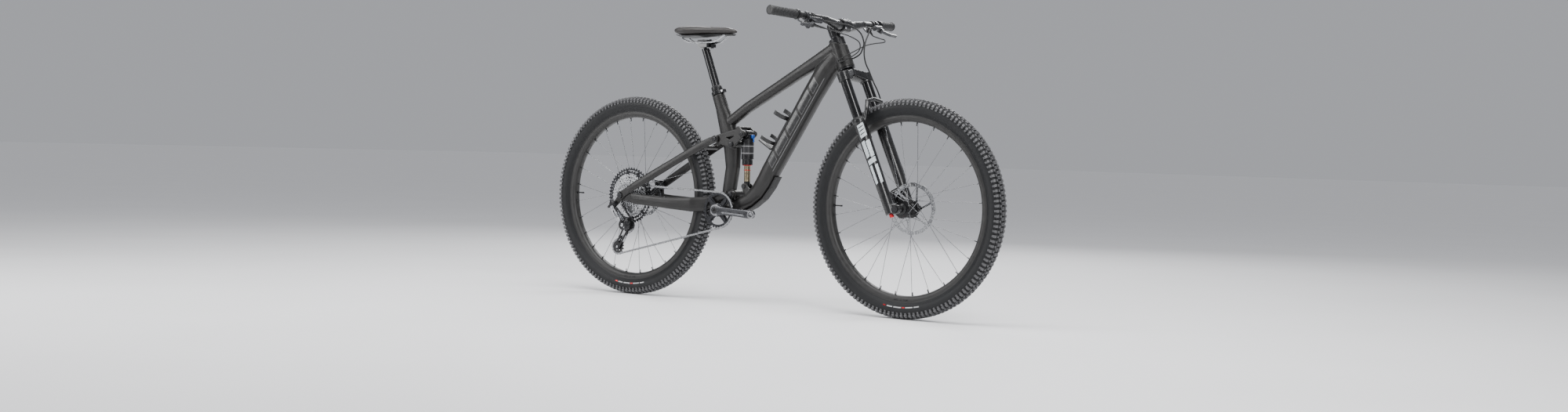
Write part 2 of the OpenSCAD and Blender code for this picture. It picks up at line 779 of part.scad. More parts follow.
module brake_lever() {
    difference() {
        union() {
            translate([0, 0, -5]) linear_extrude(10) polygon(bar(lever_hub, 6, [48, 6], 5));
            translate([0, 0, -5]) linear_extrude(10) polygon(bar([48, 6], 5, [60, 26], 4.5));
            translate([0, 0, -5]) linear_extrude(10) polygon(bar([60, 26], 4.5, [66, 66], 4));
            translate([66, 68, -5]) cylinder(r = 5, h = 10);
        }
        translate([lever_hub[0], lever_hub[1], -10]) cylinder(r = 2.5 + running_gap, h = 20);
    }
}

module left_side() {
    at_steer() lever_frame() children();
}

module right_side() {
    at_steer() mirror([0, 1, 0]) lever_frame() children();
}

module brake_bodies() {
    color("#26272a") {
        left_side() brake_body();
        right_side() brake_body();
    }
}

module brake_lever_right() {
    color("#3a3b3e") right_side() brake_lever();
}

module brake_lever_left() {
    color("#3a3b3e") left_side() brake_lever();
}

// The thumb controls hang below the bar, inboard of the brakes.
control_y = -28;

module shifter_body() {
    color("#1c1c1e") right_side() {
        difference() {
            union() {
                rod([0, control_y - 5, 0], [0, control_y + 5, 0], 14.4, 14.4);
                translate([2, control_y, -28]) cylinder(r = 19, h = 13);
                translate([-8, control_y - 5, -18]) cube([16, 10, 10]);
                rod([14, control_y - 10, -21], [24, control_y - 26, -19], 5, 4);
            }
            rod([0, control_y - 20, 0], [0, control_y + 20, 0], 11.6, 11.6);
        }
        translate([2, control_y, -43]) cylinder(r = 3, h = 17);
    }
}

module paddle(reach, z, hub_r) {
    difference() {
        translate([0, 0, z]) linear_extrude(5)
            polygon(bar([2, control_y], hub_r, [2, control_y] + reach, 7));
        translate([2, control_y, -50]) cylinder(r = 3 + running_gap, h = 40);
    }
}

module shift_lever() {
    color("#2e2f32") right_side() paddle([-36, 26], -34, 9);
}

module release_lever() {
    color("#2e2f32") right_side() paddle([-30, -8], -40, 8);
}

module dropper_remote() {
    color("#1c1c1e") left_side() {
        difference() {
            union() {
                rod([0, control_y - 5, 0], [0, control_y + 5, 0], 14.4, 14.4);
                translate([2, control_y, -24]) cylinder(r = 10, h = 10);
                rod([6, control_y - 4, -19], [22, control_y - 22, -19], 5, 4);
            }
            rod([0, control_y - 20, 0], [0, control_y + 20, 0], 11.6, 11.6);
        }
        translate([2, control_y, -31]) cylinder(r = 3, h = 8);
    }
}

module dropper_lever() {
    color("#2e2f32") left_side() paddle([-34, 22], -30, 8);
}

// ---- rear suspension ----

stay_plate_y = 80;

module chainstays() {
    on_bike() color("#49494b") difference() {
        union() {
            both() tube(chainstay, 0, 12);
            both() plate(bar(rear_axle_at, 18, [30, 368], 15), 74.3, stay_plate_y);
            both() rod_y(rear_axle_at, 10, 79, 86.6);
            both() rod_y(main_pivot_at, 14, 28, 40);
            translate([378, -38, 366]) cube([22, 76, 22]);
            plate(bar(rear_axle_at, 13, hanger_at, 10), -stay_plate_y, -74.3);
            translate([58, 60, 374]) cube([26, 10, 22.8]);
        }
        both() rod_y(main_pivot_at, 8 + running_gap, 20, 50);
        rod_y(rear_axle_at, rear_axle_r, -100, 100);
    }
}

module rear_caliper() {
    on_bike() color("#1c1c1e") difference() {
        union() {
            translate([56, 46, 397]) cube([30, 23, 34]);
            rod([71, 46, 416], [71, 42, 416], 10, 9);
        }
        rod_y(rear_axle_at, rear_rotor_r + 2.5, rear_rotor_y - 2.2, rear_rotor_y + 2.2);
    }
}

stay_bridge_at = [348, 560];

module seatstays() {
    on_bike() color("#49494b") difference() {
        union() {
            both() tube(seatstay, 0, 12);
            both() rod_y(rear_axle_at, 16, 80.4, 86.6);
            both() rod_y(stay_pivot_at, 13, 42, 49);
            both() plate(bar(rear_axle_at, 14, [30, 390], 12), 80.6, 86.4);
            both() plate(bar([380, 580], 13, stay_pivot_at, 13), 42, 49);
            rod_y(stay_bridge_at, 8, -46, 46);
            both() rod_y(stay_pivot_at, 9, 48, 51);
        }
        both() rod_y(rear_axle_at, 10 + running_gap, 70, 90);
        rod_y(rear_axle_at, 60, -80.35, 80.35);
    }
}

// Inner and outer faces of the rocker's plates.
rocker_y = [33.5, 39.8];
rocker_bridge_at = [505, 633];

module rocker_link() {
    outline = [for (p = concat(arc(stay_pivot_at, 13, 115, 250, 8),
        arc(rocker_pivot_at, 15, 225, 330, 7), arc(shock_top_at, 13, -35, 100, 8),
        [[496, 628], [450, 618]])) p];
    window = [[452, 598], [492, 605], [470, 591]];
    on_bike() color("#454547") {
        difference() {
            union() {
                both() plate(outline, rocker_y[0], rocker_y[1]);
                both() rod_y(shock_top_at, 10, 17.2, 36);
                rod_y(rocker_bridge_at, 6, -36, 36);
                both() plate(bar(rocker_bridge_at, 6, shock_top_at, 8), 30, 39.8);
                both() rod_y(shock_top_at, 9, 39, 42);
            }
            both() rod_y(rocker_pivot_at, 7 + running_gap, 20, 50);
            both() plate(window, 30, 50);
        }
    }
}

// The shock's axis: a frame with its origin at the lower eye and Z towards the upper eye.
shock_len = norm(shock_top_at - shock_foot_at);
shock_lean = atan2(shock_top_at[0] - shock_foot_at[0], shock_top_at[1] - shock_foot_at[1]);

module on_shock() {
    on_bike() translate([shock_foot_at[0], 0, shock_foot_at[1]]) rotate([0, shock_lean, 0])
        children();
}

can_low = 76;

module shock_shaft() {
    on_shock() color("#3a3226") difference() {
        union() {
            rod_y([0, 0], 9, -12, 12);
            cylinder(r = 10, h = 16);
            cylinder(r = 11, h = 100);
        }
        rod_y([0, 0], 5 + running_gap, -20, 20);
        rod_y([0, 0], 20, 12.2, 30);
        rod_y([0, 0], 20, -30, -12.2);
    }
}

module shock_can() {
    on_shock() color("#131314") difference() {
        union() {
            translate([0, 0, can_low]) cylinder(r = 19, h = 20);
            translate([0, 0, can_low + 20]) cylinder(r = 22, h = 74);
            translate([-13, -15, can_low + 90]) cube([32, 30, 20]);
            rod_y([0, shock_len], 13, -16, 16);
        }
        translate([0, 0, can_low - 1]) cylinder(r = 11 + running_gap, h = 80);
        rod([18.5, 0, shock_len - 10], [30, 0, shock_len - 10], 4 + running_gap, 4 + running_gap);
    }
}

module shock_lever() {
    on_shock() color("#2447a8") {
        rod([19.4, 0, shock_len - 10], [27, 0, shock_len - 10], 7.5, 7);
        rod([23.5, 0, shock_len - 10], [27, 0, shock_len - 30], 3, 2.5);
    }
}

// ---- drivetrain ----

function cog_y(i) = chain_y + cog_step * (i - chain_cog);

module cassette() {
    on_bike() color("#9da0a4") difference() {
        union() {
            for (i = [0:len(cog_teeth) - 1]) {
                plate(teeth_outline(rear_axle_at, cog_teeth[i]), cog_y(i) - 0.8, cog_y(i) + 0.8);
            }
            rod_y(rear_axle_at, 17, cog_y(0) - 2, -23);
        }
        rod_y(rear_axle_at, 8, -80, -10);
    }
}

crank_y = 64;
arm_flare = 4.5;
function pedal_at(side) = bb_at + side * crank_len * polar(-crank_dip);
pedal_thread_r = 7.14;
crank_axle_r = 12;
axle_fit = 0.05; // radial gap between the axle and each arm

// The flat of one crank arm: side 1 is the right arm, pointing forward, and -1 the left.
module crank_arm(side) {
    translate([bb_at[0], 0, bb_at[1]]) rotate([0, crank_dip, 0])
        rotate([0, 0, side > 0 ? 0 : 180]) translate([0, -crank_y, 0]) rotate([0, 0, -arm_flare])
        plate(bar([0, 0], 19, [crank_len / cos(arm_flare), 0], 14.5), -6, 6);
}

module crank_right() {
    on_bike() color("#5c5d60") {
        difference() {
            union() {
                crank_arm(1);
                rod_y(bb_at, 21, -70.5, -57.6);
                rod_y(pedal_at(1), 14.5, -84, -71);
            }
            rod_y(pedal_at(1), pedal_thread_r, -100, -50);
            rod_y(bb_at, crank_axle_r + axle_fit, -80, -50);
        }
        difference() {
            rod_y(bb_at, crank_axle_r, -70.5, 68);
            rod_y(bb_at, crank_axle_r - 3, -80, 80);
        }
    }
}

module crank_left() {
    on_bike() color("#5c5d60") difference() {
        union() {
            crank_arm(-1);
            rod_y(bb_at, 21, 57.6, 70.5);
            rod_y(pedal_at(-1), 14.5, 71, 84);
        }
        rod_y(pedal_at(-1), pedal_thread_r, 50, 100);
        rod_y(bb_at, crank_axle_r + axle_fit, 50, 80);
    }
}

module chainring() {
    ring_in = pitch_r(ring_teeth) - 11;
    on_bike() color("#1e1e20") difference() {
        union() {
            difference() {
                plate(teeth_outline(bb_at, ring_teeth), chain_y - 0.9, chain_y + 0.9);
                rod_y(bb_at, ring_in, chain_y - 5, chain_y + 5);
            }
            rod_y(bb_at, 22, -56.2, chain_y + 1);
            for (i = [0:3]) {
                plate(bar(bb_at, 10, bb_at + (ring_in + 1) * polar(45 + 90 * i), 6),
                    chain_y - 4, chain_y - 0.5);
            }
        }
        rod_y(bb_at, crank_axle_r + axle_fit, -70, -40);
    }
}

module derailleur_body() {
    on_bike() color("#1f2022") difference() {
        union() {
            rod_y(hanger_at, 11, -97, -80.2);
            hull() {
                rod_y(hanger_at + [2, -12], 9, -97, -84);
                rod_y(guide_at + [-8, 18], 8, -80, -66);
            }
            rod_y(guide_at, 15, -80, -58);
            rod_y(guide_at + [-8, 14], 9, -80, -62);
        }
        rod_y(guide_at, 5 + running_gap, -90, -50);
    }
}

cage_y = [-57.3, -55.5, -44.5, -42.7];

module derailleur_cage() {
    on_bike() color("#28292b") {
        plate(bar(guide_at, 14, tension_at, 12), cage_y[0], cage_y[1]);
        plate(bar(guide_at, 12, tension_at, 12), cage_y[2], cage_y[3]);
        rod_y(guide_at, 5, -76, cage_y[1]);
        rod_y(guide_at, 2.5, cage_y[1] - 0.1, cage_y[2] + 0.1);
        rod_y(tension_at, 2.5, cage_y[1] - 0.1, cage_y[2] + 0.1);
    }
}

module pulley(at) {
    difference() {
        union() {
            plate(teeth_outline(at, pulley_teeth), chain_y - 0.9, chain_y + 0.9);
            rod_y(at, 7, chain_y - 5, chain_y + 5);
        }
        rod_y(at, 2.5 + running_gap, chain_y - 10, chain_y + 10);
    }
}

module guide_pulley() {
    on_bike() color("#151516") pulley(guide_at);
}

module tension_pulley() {
    on_bike() color("#151516") pulley(tension_at);
}

// The chain's line: its wheels in order, each with its turning sense, +1 anticlockwise
// as the rider's right hand side is looked at.
chain_wheels = [[bb_at, pitch_r(ring_teeth), 1], [rear_axle_at, pitch_r(cog_teeth[chain_cog]), 1],
    [guide_at, pitch_r(pulley_teeth), -1], [tension_at, pitch_r(pulley_teeth), 1]];

// Direction of the straight run that leaves wheel i.
function run_angle(i) = let (p = chain_wheels[i % 4], q = chain_wheels[(i + 1) % 4], v = q[0] - p[0])
    atan2(v[1], v[0]) - asin((q[2] * q[1] - p[2] * p[1]) / norm(v));
function turn(a) = a < 0 ? turn(a + 360) : a >= 360 ? turn(a - 360) : a;

// Points and outward normals round wheel i, where the chain wraps it.
function wrap(i, n) = let (w = chain_wheels[i], a0 = run_angle(i + 3), a1 = run_angle(i),
    sweep = w[2] > 0 ? turn(a1 - a0) : -turn(a0 - a1))
    [for (k = [0:n]) let (a = a0 + sweep * k / n, out = [sin(a), -cos(a)])
        [w[0] + w[2] * w[1] * out, out]];
chain_line = concat(wrap(0, 18), wrap(1, 16), wrap(2, 8), wrap(3, 12));
chain_half_h = 3.6;

module chain() {
    outer = [for (p = chain_line) p[0] + chain_half_h * p[1]];
    inner = [for (p = chain_line) p[0] - chain_half_h * p[1]];
    on_bike() color("#b4b6b9") for (y = [chain_y - 2.6, chain_y + 1.2]) {
        difference() {
            plate(outer, y, y + 1.4);
            plate(inner, y - 1, y + 3);
        }
    }
}

module control_lines() {
    on_bike() color("#111112") {
        cord(rear_hose_route, hose_r);
        cord(front_hose_route, hose_r);
        cord(shift_route, cable_r);
        cord(dropper_route, cable_r);
    }
}

main_frame();
frame_bearings();
seat_clamp();
post_outer();
bottle_cage();
downtube_guard();
pivot_axles();
post_inner();
saddle_clamp();
saddle_rails();
saddle_shell();
saddle_cover();
fork_crown();
fork_stanchions();
stem();
stem_faceplate();
headset_spacers();
handlebar();
grips();
brake_bodies();
shifter_body();
dropper_remote();
brake_lever_right();
brake_lever_left();
shift_lever();
release_lever();
dropper_lever();
fork_lowers();
fork_seals();
front_axle();
front_caliper();
rebound_knob();
front_tyre();
front_rim();
front_spokes();
front_hub();
front_rotor();
chainstays();
rear_axle();
rear_caliper();
seatstays();
rocker_link();
shock_shaft();
shock_can();
shock_lever();
rear_tyre();
rear_rim();
rear_spokes();
rear_hub();
rear_rotor();
cassette();
crank_right();
crank_left();
chainring();
derailleur_body();
derailleur_cage();
guide_pulley();
tension_pulley();
chain();
control_lines();
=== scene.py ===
# Looks for the full-suspension mountain bike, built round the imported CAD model. Metres, in the row frame.
import json
from math import acos, asin, atan2, copysign, cos, exp, pi, radians, sin, tan, tanh, tau as TAU

import bpy
import bmesh
from mathutils import Matrix, Vector
from mathutils.bvhtree import BVHTree


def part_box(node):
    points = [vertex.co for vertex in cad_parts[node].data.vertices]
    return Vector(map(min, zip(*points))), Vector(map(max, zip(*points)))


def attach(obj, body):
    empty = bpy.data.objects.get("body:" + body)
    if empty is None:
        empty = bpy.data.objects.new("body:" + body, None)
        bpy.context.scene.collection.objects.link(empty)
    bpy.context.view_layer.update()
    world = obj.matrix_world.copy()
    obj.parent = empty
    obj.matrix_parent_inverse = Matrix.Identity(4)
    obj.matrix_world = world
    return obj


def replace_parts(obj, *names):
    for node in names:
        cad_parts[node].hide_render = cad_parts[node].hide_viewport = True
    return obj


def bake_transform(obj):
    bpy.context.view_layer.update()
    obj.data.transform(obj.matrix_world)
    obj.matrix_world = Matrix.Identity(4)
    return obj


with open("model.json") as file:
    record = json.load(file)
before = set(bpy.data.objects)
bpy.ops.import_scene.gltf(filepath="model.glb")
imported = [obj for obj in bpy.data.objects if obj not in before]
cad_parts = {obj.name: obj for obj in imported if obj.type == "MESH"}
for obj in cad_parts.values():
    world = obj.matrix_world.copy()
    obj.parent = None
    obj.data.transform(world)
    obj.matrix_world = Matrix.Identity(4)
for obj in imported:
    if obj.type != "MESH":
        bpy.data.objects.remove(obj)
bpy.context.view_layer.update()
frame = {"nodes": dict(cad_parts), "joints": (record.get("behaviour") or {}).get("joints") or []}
NODE = frame["nodes"]
JOINT = {j["name"]: j for j in frame["joints"]}


# ---- places, all from the CAD nodes and joints ----

def middle(node):
    lo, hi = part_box(node)
    return (lo + hi) / 2


REAR = Vector((middle("rear_rim").x, 0, middle("rear_rim").z))
FRONT = Vector((middle("front_rim").x, 0, middle("front_rim").z))


def at(x, z, y=0.0):
    """A point given in millimetres ahead of the rear axle, above the ground and to the left."""
    return Vector((REAR.x + x / 1000, y / 1000, z / 1000))


def along(z_axis, origin, y_axis=(0, 1, 0)):
    """A frame with its Z along z_axis and its Y near y_axis."""
    z = Vector(z_axis).normalized()
    side = Vector(y_axis).normalized()
    if abs(side.dot(z)) > 0.98:
        side = Vector((0, 0, 1))
    x = side.cross(z).normalized()
    y = z.cross(x)
    m = Matrix((x, y, z)).transposed().to_4x4()
    m.translation = Vector(origin)
    return m


STEER_AXIS = Vector(JOINT["steering"]["axis"]).normalized()
STEER = along(STEER_AXIS, (0, 0, 0))
STEER.translation = FRONT - STEER.to_3x3() @ Vector((0.044, 0, 0))
BB = Vector(JOINT["crank_spin"]["pos_m"])
MAIN_PIVOT = Vector(JOINT["rear_suspension"]["pos_m"])
GUIDE = Vector(JOINT["guide_pulley_spin"]["pos_m"])
TENSION = Vector(JOINT["tension_pulley_spin"]["pos_m"])
ACROSS = along((0, 1, 0), (0, 0, 0), (0, 0, 1))


def across(p):
    """A frame at p whose Z points along +Y, for things that turn round the bike's cross axis."""
    return Matrix.Translation(Vector(p)) @ ACROSS


def steer(x, y, s):
    """A point of the steering frame, in millimetres."""
    return STEER @ Vector((x / 1000, y / 1000, s / 1000))


# ---- materials ----

def material(name, base, rough=0.5, metal=0.0, vary=0.25, scale=60.0, bump=0.02, bump_scale=900.0,
             coat=0.0, rough_vary=0.08, specular=0.5, wear_and_highlight=0.0, wear_and_highlight_colour=None):
    """A surface with mottled colour, uneven gloss and a fine grain, all from object coordinates."""
    m = bpy.data.materials.new(name)
    m.use_nodes = True
    tree = m.node_tree
    tree.nodes.clear()
    link = tree.links.new

    def node(kind, **values):
        made = tree.nodes.new("ShaderNode" + kind)
        for key, value in values.items():
            made.inputs[key.replace("_", " ")].default_value = value
        return made

    def noise(scale, detail):
        made = node("TexNoise", Scale=scale, Detail=detail)
        link(coordinates.outputs["Object"], made.inputs["Vector"])
        return made.outputs["Fac"]

    def ramp(socket, *stops):
        made = node("ValToRGB")
        for element, (position, colour) in zip(made.color_ramp.elements, stops):
            element.position = position
            if colour:
                element.color = (*colour, 1)
        link(socket, made.inputs[0])
        return made.outputs[0]

    surface = node("BsdfPrincipled", Metallic=metal, Specular_IOR_Level=specular, Coat_Weight=coat,
                   Coat_Roughness=0.18)
    link(surface.outputs[0], node("OutputMaterial").inputs[0])
    coordinates = node("TexCoord")
    mottle = noise(scale, 4)
    colour = ramp(mottle, (0.3, [c * (1 - vary) for c in base]), (0.72, [min(1, c * (1 + vary)) for c in base]))
    if wear_and_highlight:  # lighter on the outer edges: edge wear, and on the tread knobs a painted highlight where they catch the light
        edges = ramp(node("NewGeometry").outputs["Pointiness"], (0.52, None), (0.62, None))
        amount = node("Math")
        amount.operation = "MULTIPLY"
        amount.inputs[1].default_value = wear_and_highlight
        link(edges, amount.inputs[0])
        mix = node("Mix")
        mix.data_type = "RGBA"
        mix.inputs[7].default_value = (*(wear_and_highlight_colour or [min(1, c * 2.5) for c in base]), 1)
        link(amount.outputs[0], mix.inputs[0])
        link(colour, mix.inputs[6])
        colour = mix.outputs[2]
    link(colour, surface.inputs["Base Color"])
    gloss = node("MapRange", From_Min=0.3, From_Max=0.7, To_Min=max(0.03, rough - rough_vary),
                 To_Max=min(1, rough + rough_vary))
    link(mottle, gloss.inputs["Value"])
    link(gloss.outputs[0], surface.inputs["Roughness"])
    grain = node("Bump", Strength=min(1, bump * 10), Distance=0.0004)
    link(noise(bump_scale, 3), grain.inputs["Height"])
    link(grain.outputs[0], surface.inputs["Normal"])
    return m


CARBON = material("satin_carbon", (0.0125, 0.0120, 0.0117), 0.37, vary=0.16, specular=0.34, scale=34,
                  bump=0.012, bump_scale=1500, rough_vary=0.05, wear_and_highlight=0.12)
CARBON_RIM = material("carbon_hoop", (0.0215, 0.0210, 0.0205), 0.42, specular=0.34, vary=0.2, scale=50,
                      bump=0.015)
CARBON_BAR = material("carbon_bar", (0.0085, 0.0085, 0.009), 0.30, vary=0.3, scale=90, bump=0.01,
                      coat=0.25)
SIDEWALL = material("tyre_sidewall", (0.0070, 0.0074, 0.0082), 0.50, specular=0.3, vary=0.18, scale=120,
                    bump=0.05, bump_scale=1800)
# The tread knobs' lighter edges are a painted highlight, standing in for the light their tops and edges catch.
KNOB = material("tyre_tread", (0.0070, 0.0072, 0.0075), 0.46, vary=0.3, scale=160, bump=0.05,
                bump_scale=1200, specular=0.35, wear_and_highlight=0.8, wear_and_highlight_colour=(0.10, 0.10, 0.104))
RUBBER = material("soft_rubber", (0.0085, 0.0085, 0.009), 0.66, vary=0.25, scale=150, bump=0.06,
                  bump_scale=1400)
GRIP = material("grip_rubber", (0.011, 0.011, 0.0115), 0.55, vary=0.25, scale=240, bump=0.07,
                bump_scale=1600, wear_and_highlight=0.4)
BLACK = material("anodised_black", (0.0085, 0.0085, 0.0095), 0.32, metal=0.35, vary=0.2, scale=130,
                 bump=0.012, wear_and_highlight=0.5)
CAST = material("cast_black", (0.012, 0.012, 0.013), 0.38, metal=0.2, vary=0.25, scale=180, bump=0.03,
                wear_and_highlight=0.4)
FORK = material("fork_satin_black", (0.0065, 0.0065, 0.007), 0.28, vary=0.2, scale=60, bump=0.012,
                coat=0.15)
SLIDE = material("black_stanchion", (0.006, 0.006, 0.007), 0.12, metal=0.55, vary=0.15, scale=40,
                 bump=0.004, coat=0.5)
PLASTIC = material("black_plastic", (0.0095, 0.0095, 0.010), 0.44, vary=0.2, scale=200, bump=0.04,
                   bump_scale=1700)
LEVER = material("lever_grey", (0.060, 0.061, 0.065), 0.30, metal=0.75, vary=0.15, scale=120, bump=0.01,
                 wear_and_highlight=0.5)
CRANK = material("crank_grey", (0.052, 0.053, 0.057), 0.25, metal=0.85, vary=0.12, scale=70, bump=0.008,
                 wear_and_highlight=0.9, wear_and_highlight_colour=(0.55, 0.55, 0.57))
STEEL = material("bright_steel", (0.46, 0.465, 0.48), 0.24, metal=1.0, vary=0.12, scale=150, bump=0.01)
SPOKE = material("spoke_steel", (0.20, 0.203, 0.21), 0.22, metal=1.0, vary=0.1, scale=150, bump=0.005)
CHAIN = material("chain_steel", (0.27, 0.273, 0.28), 0.27, metal=1.0, vary=0.22, scale=300, bump=0.015)
COG = material("sprocket_silver", (0.40, 0.405, 0.415), 0.28, metal=1.0, vary=0.18, scale=160, bump=0.015)
COG_DARK = material("sprocket_dark", (0.022, 0.0225, 0.025), 0.34, metal=0.8, vary=0.2, scale=160,
                    bump=0.015, wear_and_highlight=0.6)
ROTOR = material("rotor_steel", (0.34, 0.345, 0.355), 0.28, metal=1.0, vary=0.12, scale=220, bump=0.02)
RED = material("red_anodised", (0.45, 0.012, 0.018), 0.28, metal=0.75, vary=0.15, scale=120, bump=0.01)
BLUE = material("blue_anodised", (0.03, 0.12, 0.48), 0.26, metal=0.75, vary=0.15, scale=120,
                bump=0.01)
GOLD = material("shaft_finish", (0.40, 0.33, 0.22), 0.2, metal=1.0, vary=0.12, scale=120, bump=0.006)
SADDLE = material("saddle_cover", (0.022, 0.0195, 0.0188), 0.42, specular=0.38, vary=0.12, scale=140,
                  bump=0.035, bump_scale=1300)
DECAL = material("plain_decal", (0.46, 0.50, 0.52), 0.38, vary=0.12, scale=120, bump=0.01)
PALE = material("pale_marking", (0.42, 0.42, 0.43), 0.55, vary=0.12, scale=200, bump=0.02)
LINE = material("grey_pinstripe", (0.17, 0.17, 0.175), 0.42, vary=0.1, scale=120, bump=0.01)


# ---- making meshes ----

def linked(name, data):
    o = bpy.data.objects.new(name, data)
    bpy.context.scene.collection.objects.link(o)
    return o


def shade(me, mat, angle=None):
    """Gives a mesh its material and smooth shading, with the edges past an angle kept sharp."""
    me.materials.clear()
    me.materials.append(mat)
    me.polygons.foreach_set("use_smooth", [True] * len(me.polygons))
    if angle is not None:
        me.set_sharp_from_angle(angle=radians(angle))


def piece(name, verts, faces, mat, body, m=None, angle=38, flat=False):
    """A mesh piece that rides on a body; m puts its points in the row frame."""
    me = bpy.data.meshes.new(name)
    me.from_pydata([m @ Vector(v) if m is not None else Vector(v) for v in verts], [], faces)
    me.validate()
    bm = bmesh.new()
    bm.from_mesh(me)
    bmesh.ops.recalc_face_normals(bm, faces=bm.faces)
    bm.to_mesh(me)
    bm.free()
    o = linked(name, me)
    if flat:
        me.materials.append(mat)
    else:
        shade(me, mat, angle)
    if body:
        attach(o, body)
    return o


def polar(r, a):
    return r * cos(a), r * sin(a)


def arc(r, start, span, steps):
    return [polar(r, start + span * i / steps) for i in range(steps + 1)]


def baked(o):
    """The object's mesh with its modifiers applied."""
    dg = bpy.context.evaluated_depsgraph_get()
    me = bpy.data.meshes.new_from_object(o.evaluated_get(dg))
    old = o.data
    o.modifiers.clear()
    o.data = me
    bpy.data.meshes.remove(old)
    return me


def join(*parts):
    """Joins (verts, faces) lists into one."""
    verts, faces = [], []
    for v, f in parts:
        k = len(verts)
        verts += [Vector(p) for p in v]
        faces += [[i + k for i in q] for q in f]
    return verts, faces


def moved(part, m):
    return [m @ Vector(v) for v in part[0]], part[1]


def lathe(profile, n=48, closed=False, caps=True):
    """A form turned round Z from (radius, height) pairs."""
    k = len(profile)
    verts = [(*polar(r, TAU * i / n), h) for i in range(n) for r, h in profile]
    faces = [[i * k + p, (i + 1) % n * k + p, (i + 1) % n * k + (p + 1) % k, i * k + (p + 1) % k]
             for i in range(n) for p in range(k if closed else k - 1)]
    if caps and not closed:
        faces += [[i * k + p for i in range(n)] for p in (0, k - 1) if profile[p][0] > 1e-6]
    return verts, faces


def turned(profile, n, m, closed=False):
    """A lathe form given in millimetres, moved by m."""
    return moved(lathe(mm(profile), n, closed), m)


def grid(rows):
    """A surface through rows of points."""
    n = len(rows[0])
    faces = [[k, k + 1, k + n + 1, k + n] for i in range(len(rows) - 1) for k in range(i * n, i * n + n - 1)]
    return [p for row in rows for p in row], faces


def mm(profile):
    return [(r / 1000, h / 1000) for r, h in profile]


def loft(rings, closed=False):
    n = len(rings[0])
    verts = [v for r in rings for v in r]
    faces = []
    for k in range(len(rings) if closed else len(rings) - 1):
        a, b = k * n, ((k + 1) % len(rings)) * n
        faces += [[a + i, a + (i + 1) % n, b + (i + 1) % n, b + i] for i in range(n)]
    if not closed:
        faces += [list(range(n))[::-1], [len(verts) - n + i for i in range(n)]]
    return verts, faces


def curve_points(route, k):
    """A smooth curve through the points of a route."""
    p = [Vector(q) for q in route]
    m = len(p) - 1
    out = []
    for i in range(m):
        a, b, c, d = p[max(i - 1, 0)], p[i], p[i + 1], p[min(i + 2, m)]
        for j in range(k):
            t = j / k
            out.append(0.5 * (2 * b + (c - a) * t + (2 * a - 5 * b + 4 * c - d) * t * t
                              + (3 * b - a - 3 * c + d) * t ** 3))
    return out + [p[m]]


def tube(route, r, n, k):
    """A round tube along a smooth curve through the route; r is a radius, or gives one from 0 to 1 along it."""
    p = curve_points(route, k)
    rings, v = [], None
    for i, q in enumerate(p):
        t = (p[min(i + 1, len(p) - 1)] - p[max(i - 1, 0)]).normalized()
        v = Vector((0.3, 0.2, 1)) if v is None else v
        v = (v - t * v.dot(t)).normalized()
        w = t.cross(v)
        rr = r(i / (len(p) - 1)) if callable(r) else r
        rings.append([q + rr * (cos(TAU * s / n) * v + sin(TAU * s / n) * w) for s in range(n)])
    return loft(rings)


def plate(loops, y0, y1, bevel=0.0):
    """A flat plate with holes. The first loop is its outline and the others its holes, in XZ."""
    c = bpy.data.curves.new("plate", "CURVE")
    c.dimensions = "2D"
    c.fill_mode = "BOTH"
    c.extrude = abs(y1 - y0) / 2 - bevel
    c.bevel_depth = bevel
    c.bevel_resolution = 1
    c.offset = -bevel
    for loop in loops:
        s = c.splines.new("POLY")
        s.points.add(len(loop) - 1)
        for i, (x, z) in enumerate(loop):
            s.points[i].co = (x, z, 0, 1)
        s.use_cyclic_u = True
    o = linked("plate", c)
    dg = bpy.context.evaluated_depsgraph_get()
    me = bpy.data.meshes.new_from_object(o.evaluated_get(dg))
    y = (y0 + y1) / 2
    verts = [(v.co.x, y + v.co.z, v.co.y) for v in me.vertices]
    faces = [list(p.vertices) for p in me.polygons]
    bpy.data.objects.remove(o)
    bpy.data.curves.remove(c)
    bpy.data.meshes.remove(me)
    return verts, faces


def circle(r, n=24, x=0.0, z=0.0):
    return [(x + r * cos(TAU * i / n), z + r * sin(TAU * i / n)) for i in range(n)]


def slot_loop(x, z, length, width, a):
    """A round-ended slot, its long side at angle a."""
    steps, out = 5, []
    for end, a0 in ((1, a - TAU / 4), (-1, a + TAU / 4)):
        cx, cz = x + end * length / 2 * cos(a), z + end * length / 2 * sin(a)
        out += [(cx + width / 2 * cos(a0 + pi * i / steps), cz + width / 2 * sin(a0 + pi * i / steps))
                for i in range(steps + 1)]
    return out


def keep_outer_skin(me):
    """Removes the walls of the hollows inside a mesh: whatever does not hang together with its foremost point."""
    bm = bmesh.new()
    bm.from_mesh(me)
    stack = [max(bm.verts, key=lambda v: v.co.x)]
    kept = set(stack)
    while stack:
        fresh = [u for e in stack.pop().link_edges for u in e.verts if u not in kept]
        kept.update(fresh)
        stack += fresh
    bmesh.ops.delete(bm, geom=[v for v in bm.verts if v not in kept], context="VERTS")
    bm.to_mesh(me)
    bm.free()


def remeshed(node, name, voxel, rounds):
    """A copy of a CAD node's form, rebuilt from voxels of so many millimetres and smoothed."""
    o = linked(name, NODE[node].data.copy())
    o.data.materials.clear()
    r = o.modifiers.new("remesh", "REMESH")
    r.mode = "VOXEL"
    r.voxel_size = voxel / 1000
    s = o.modifiers.new("smooth", "SMOOTH")
    s.factor = 0.5
    s.iterations = rounds
    baked(o)
    return o


def softened(node, name, mat, body, voxel=1.5, rounds=6, outer=False, angle=60):
    """A CAD node's form with its edges and junctions rounded, as a moulding or forging has."""
    o = remeshed(node, name, voxel, rounds)
    if outer:
        keep_outer_skin(o.data)
    shade(o.data, mat, angle)
    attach(o, body)
    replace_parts(o, node)
    return o


def finish_node(node, mat):
    me = NODE[node].data
    me.materials.clear()
    me.materials.append(mat)


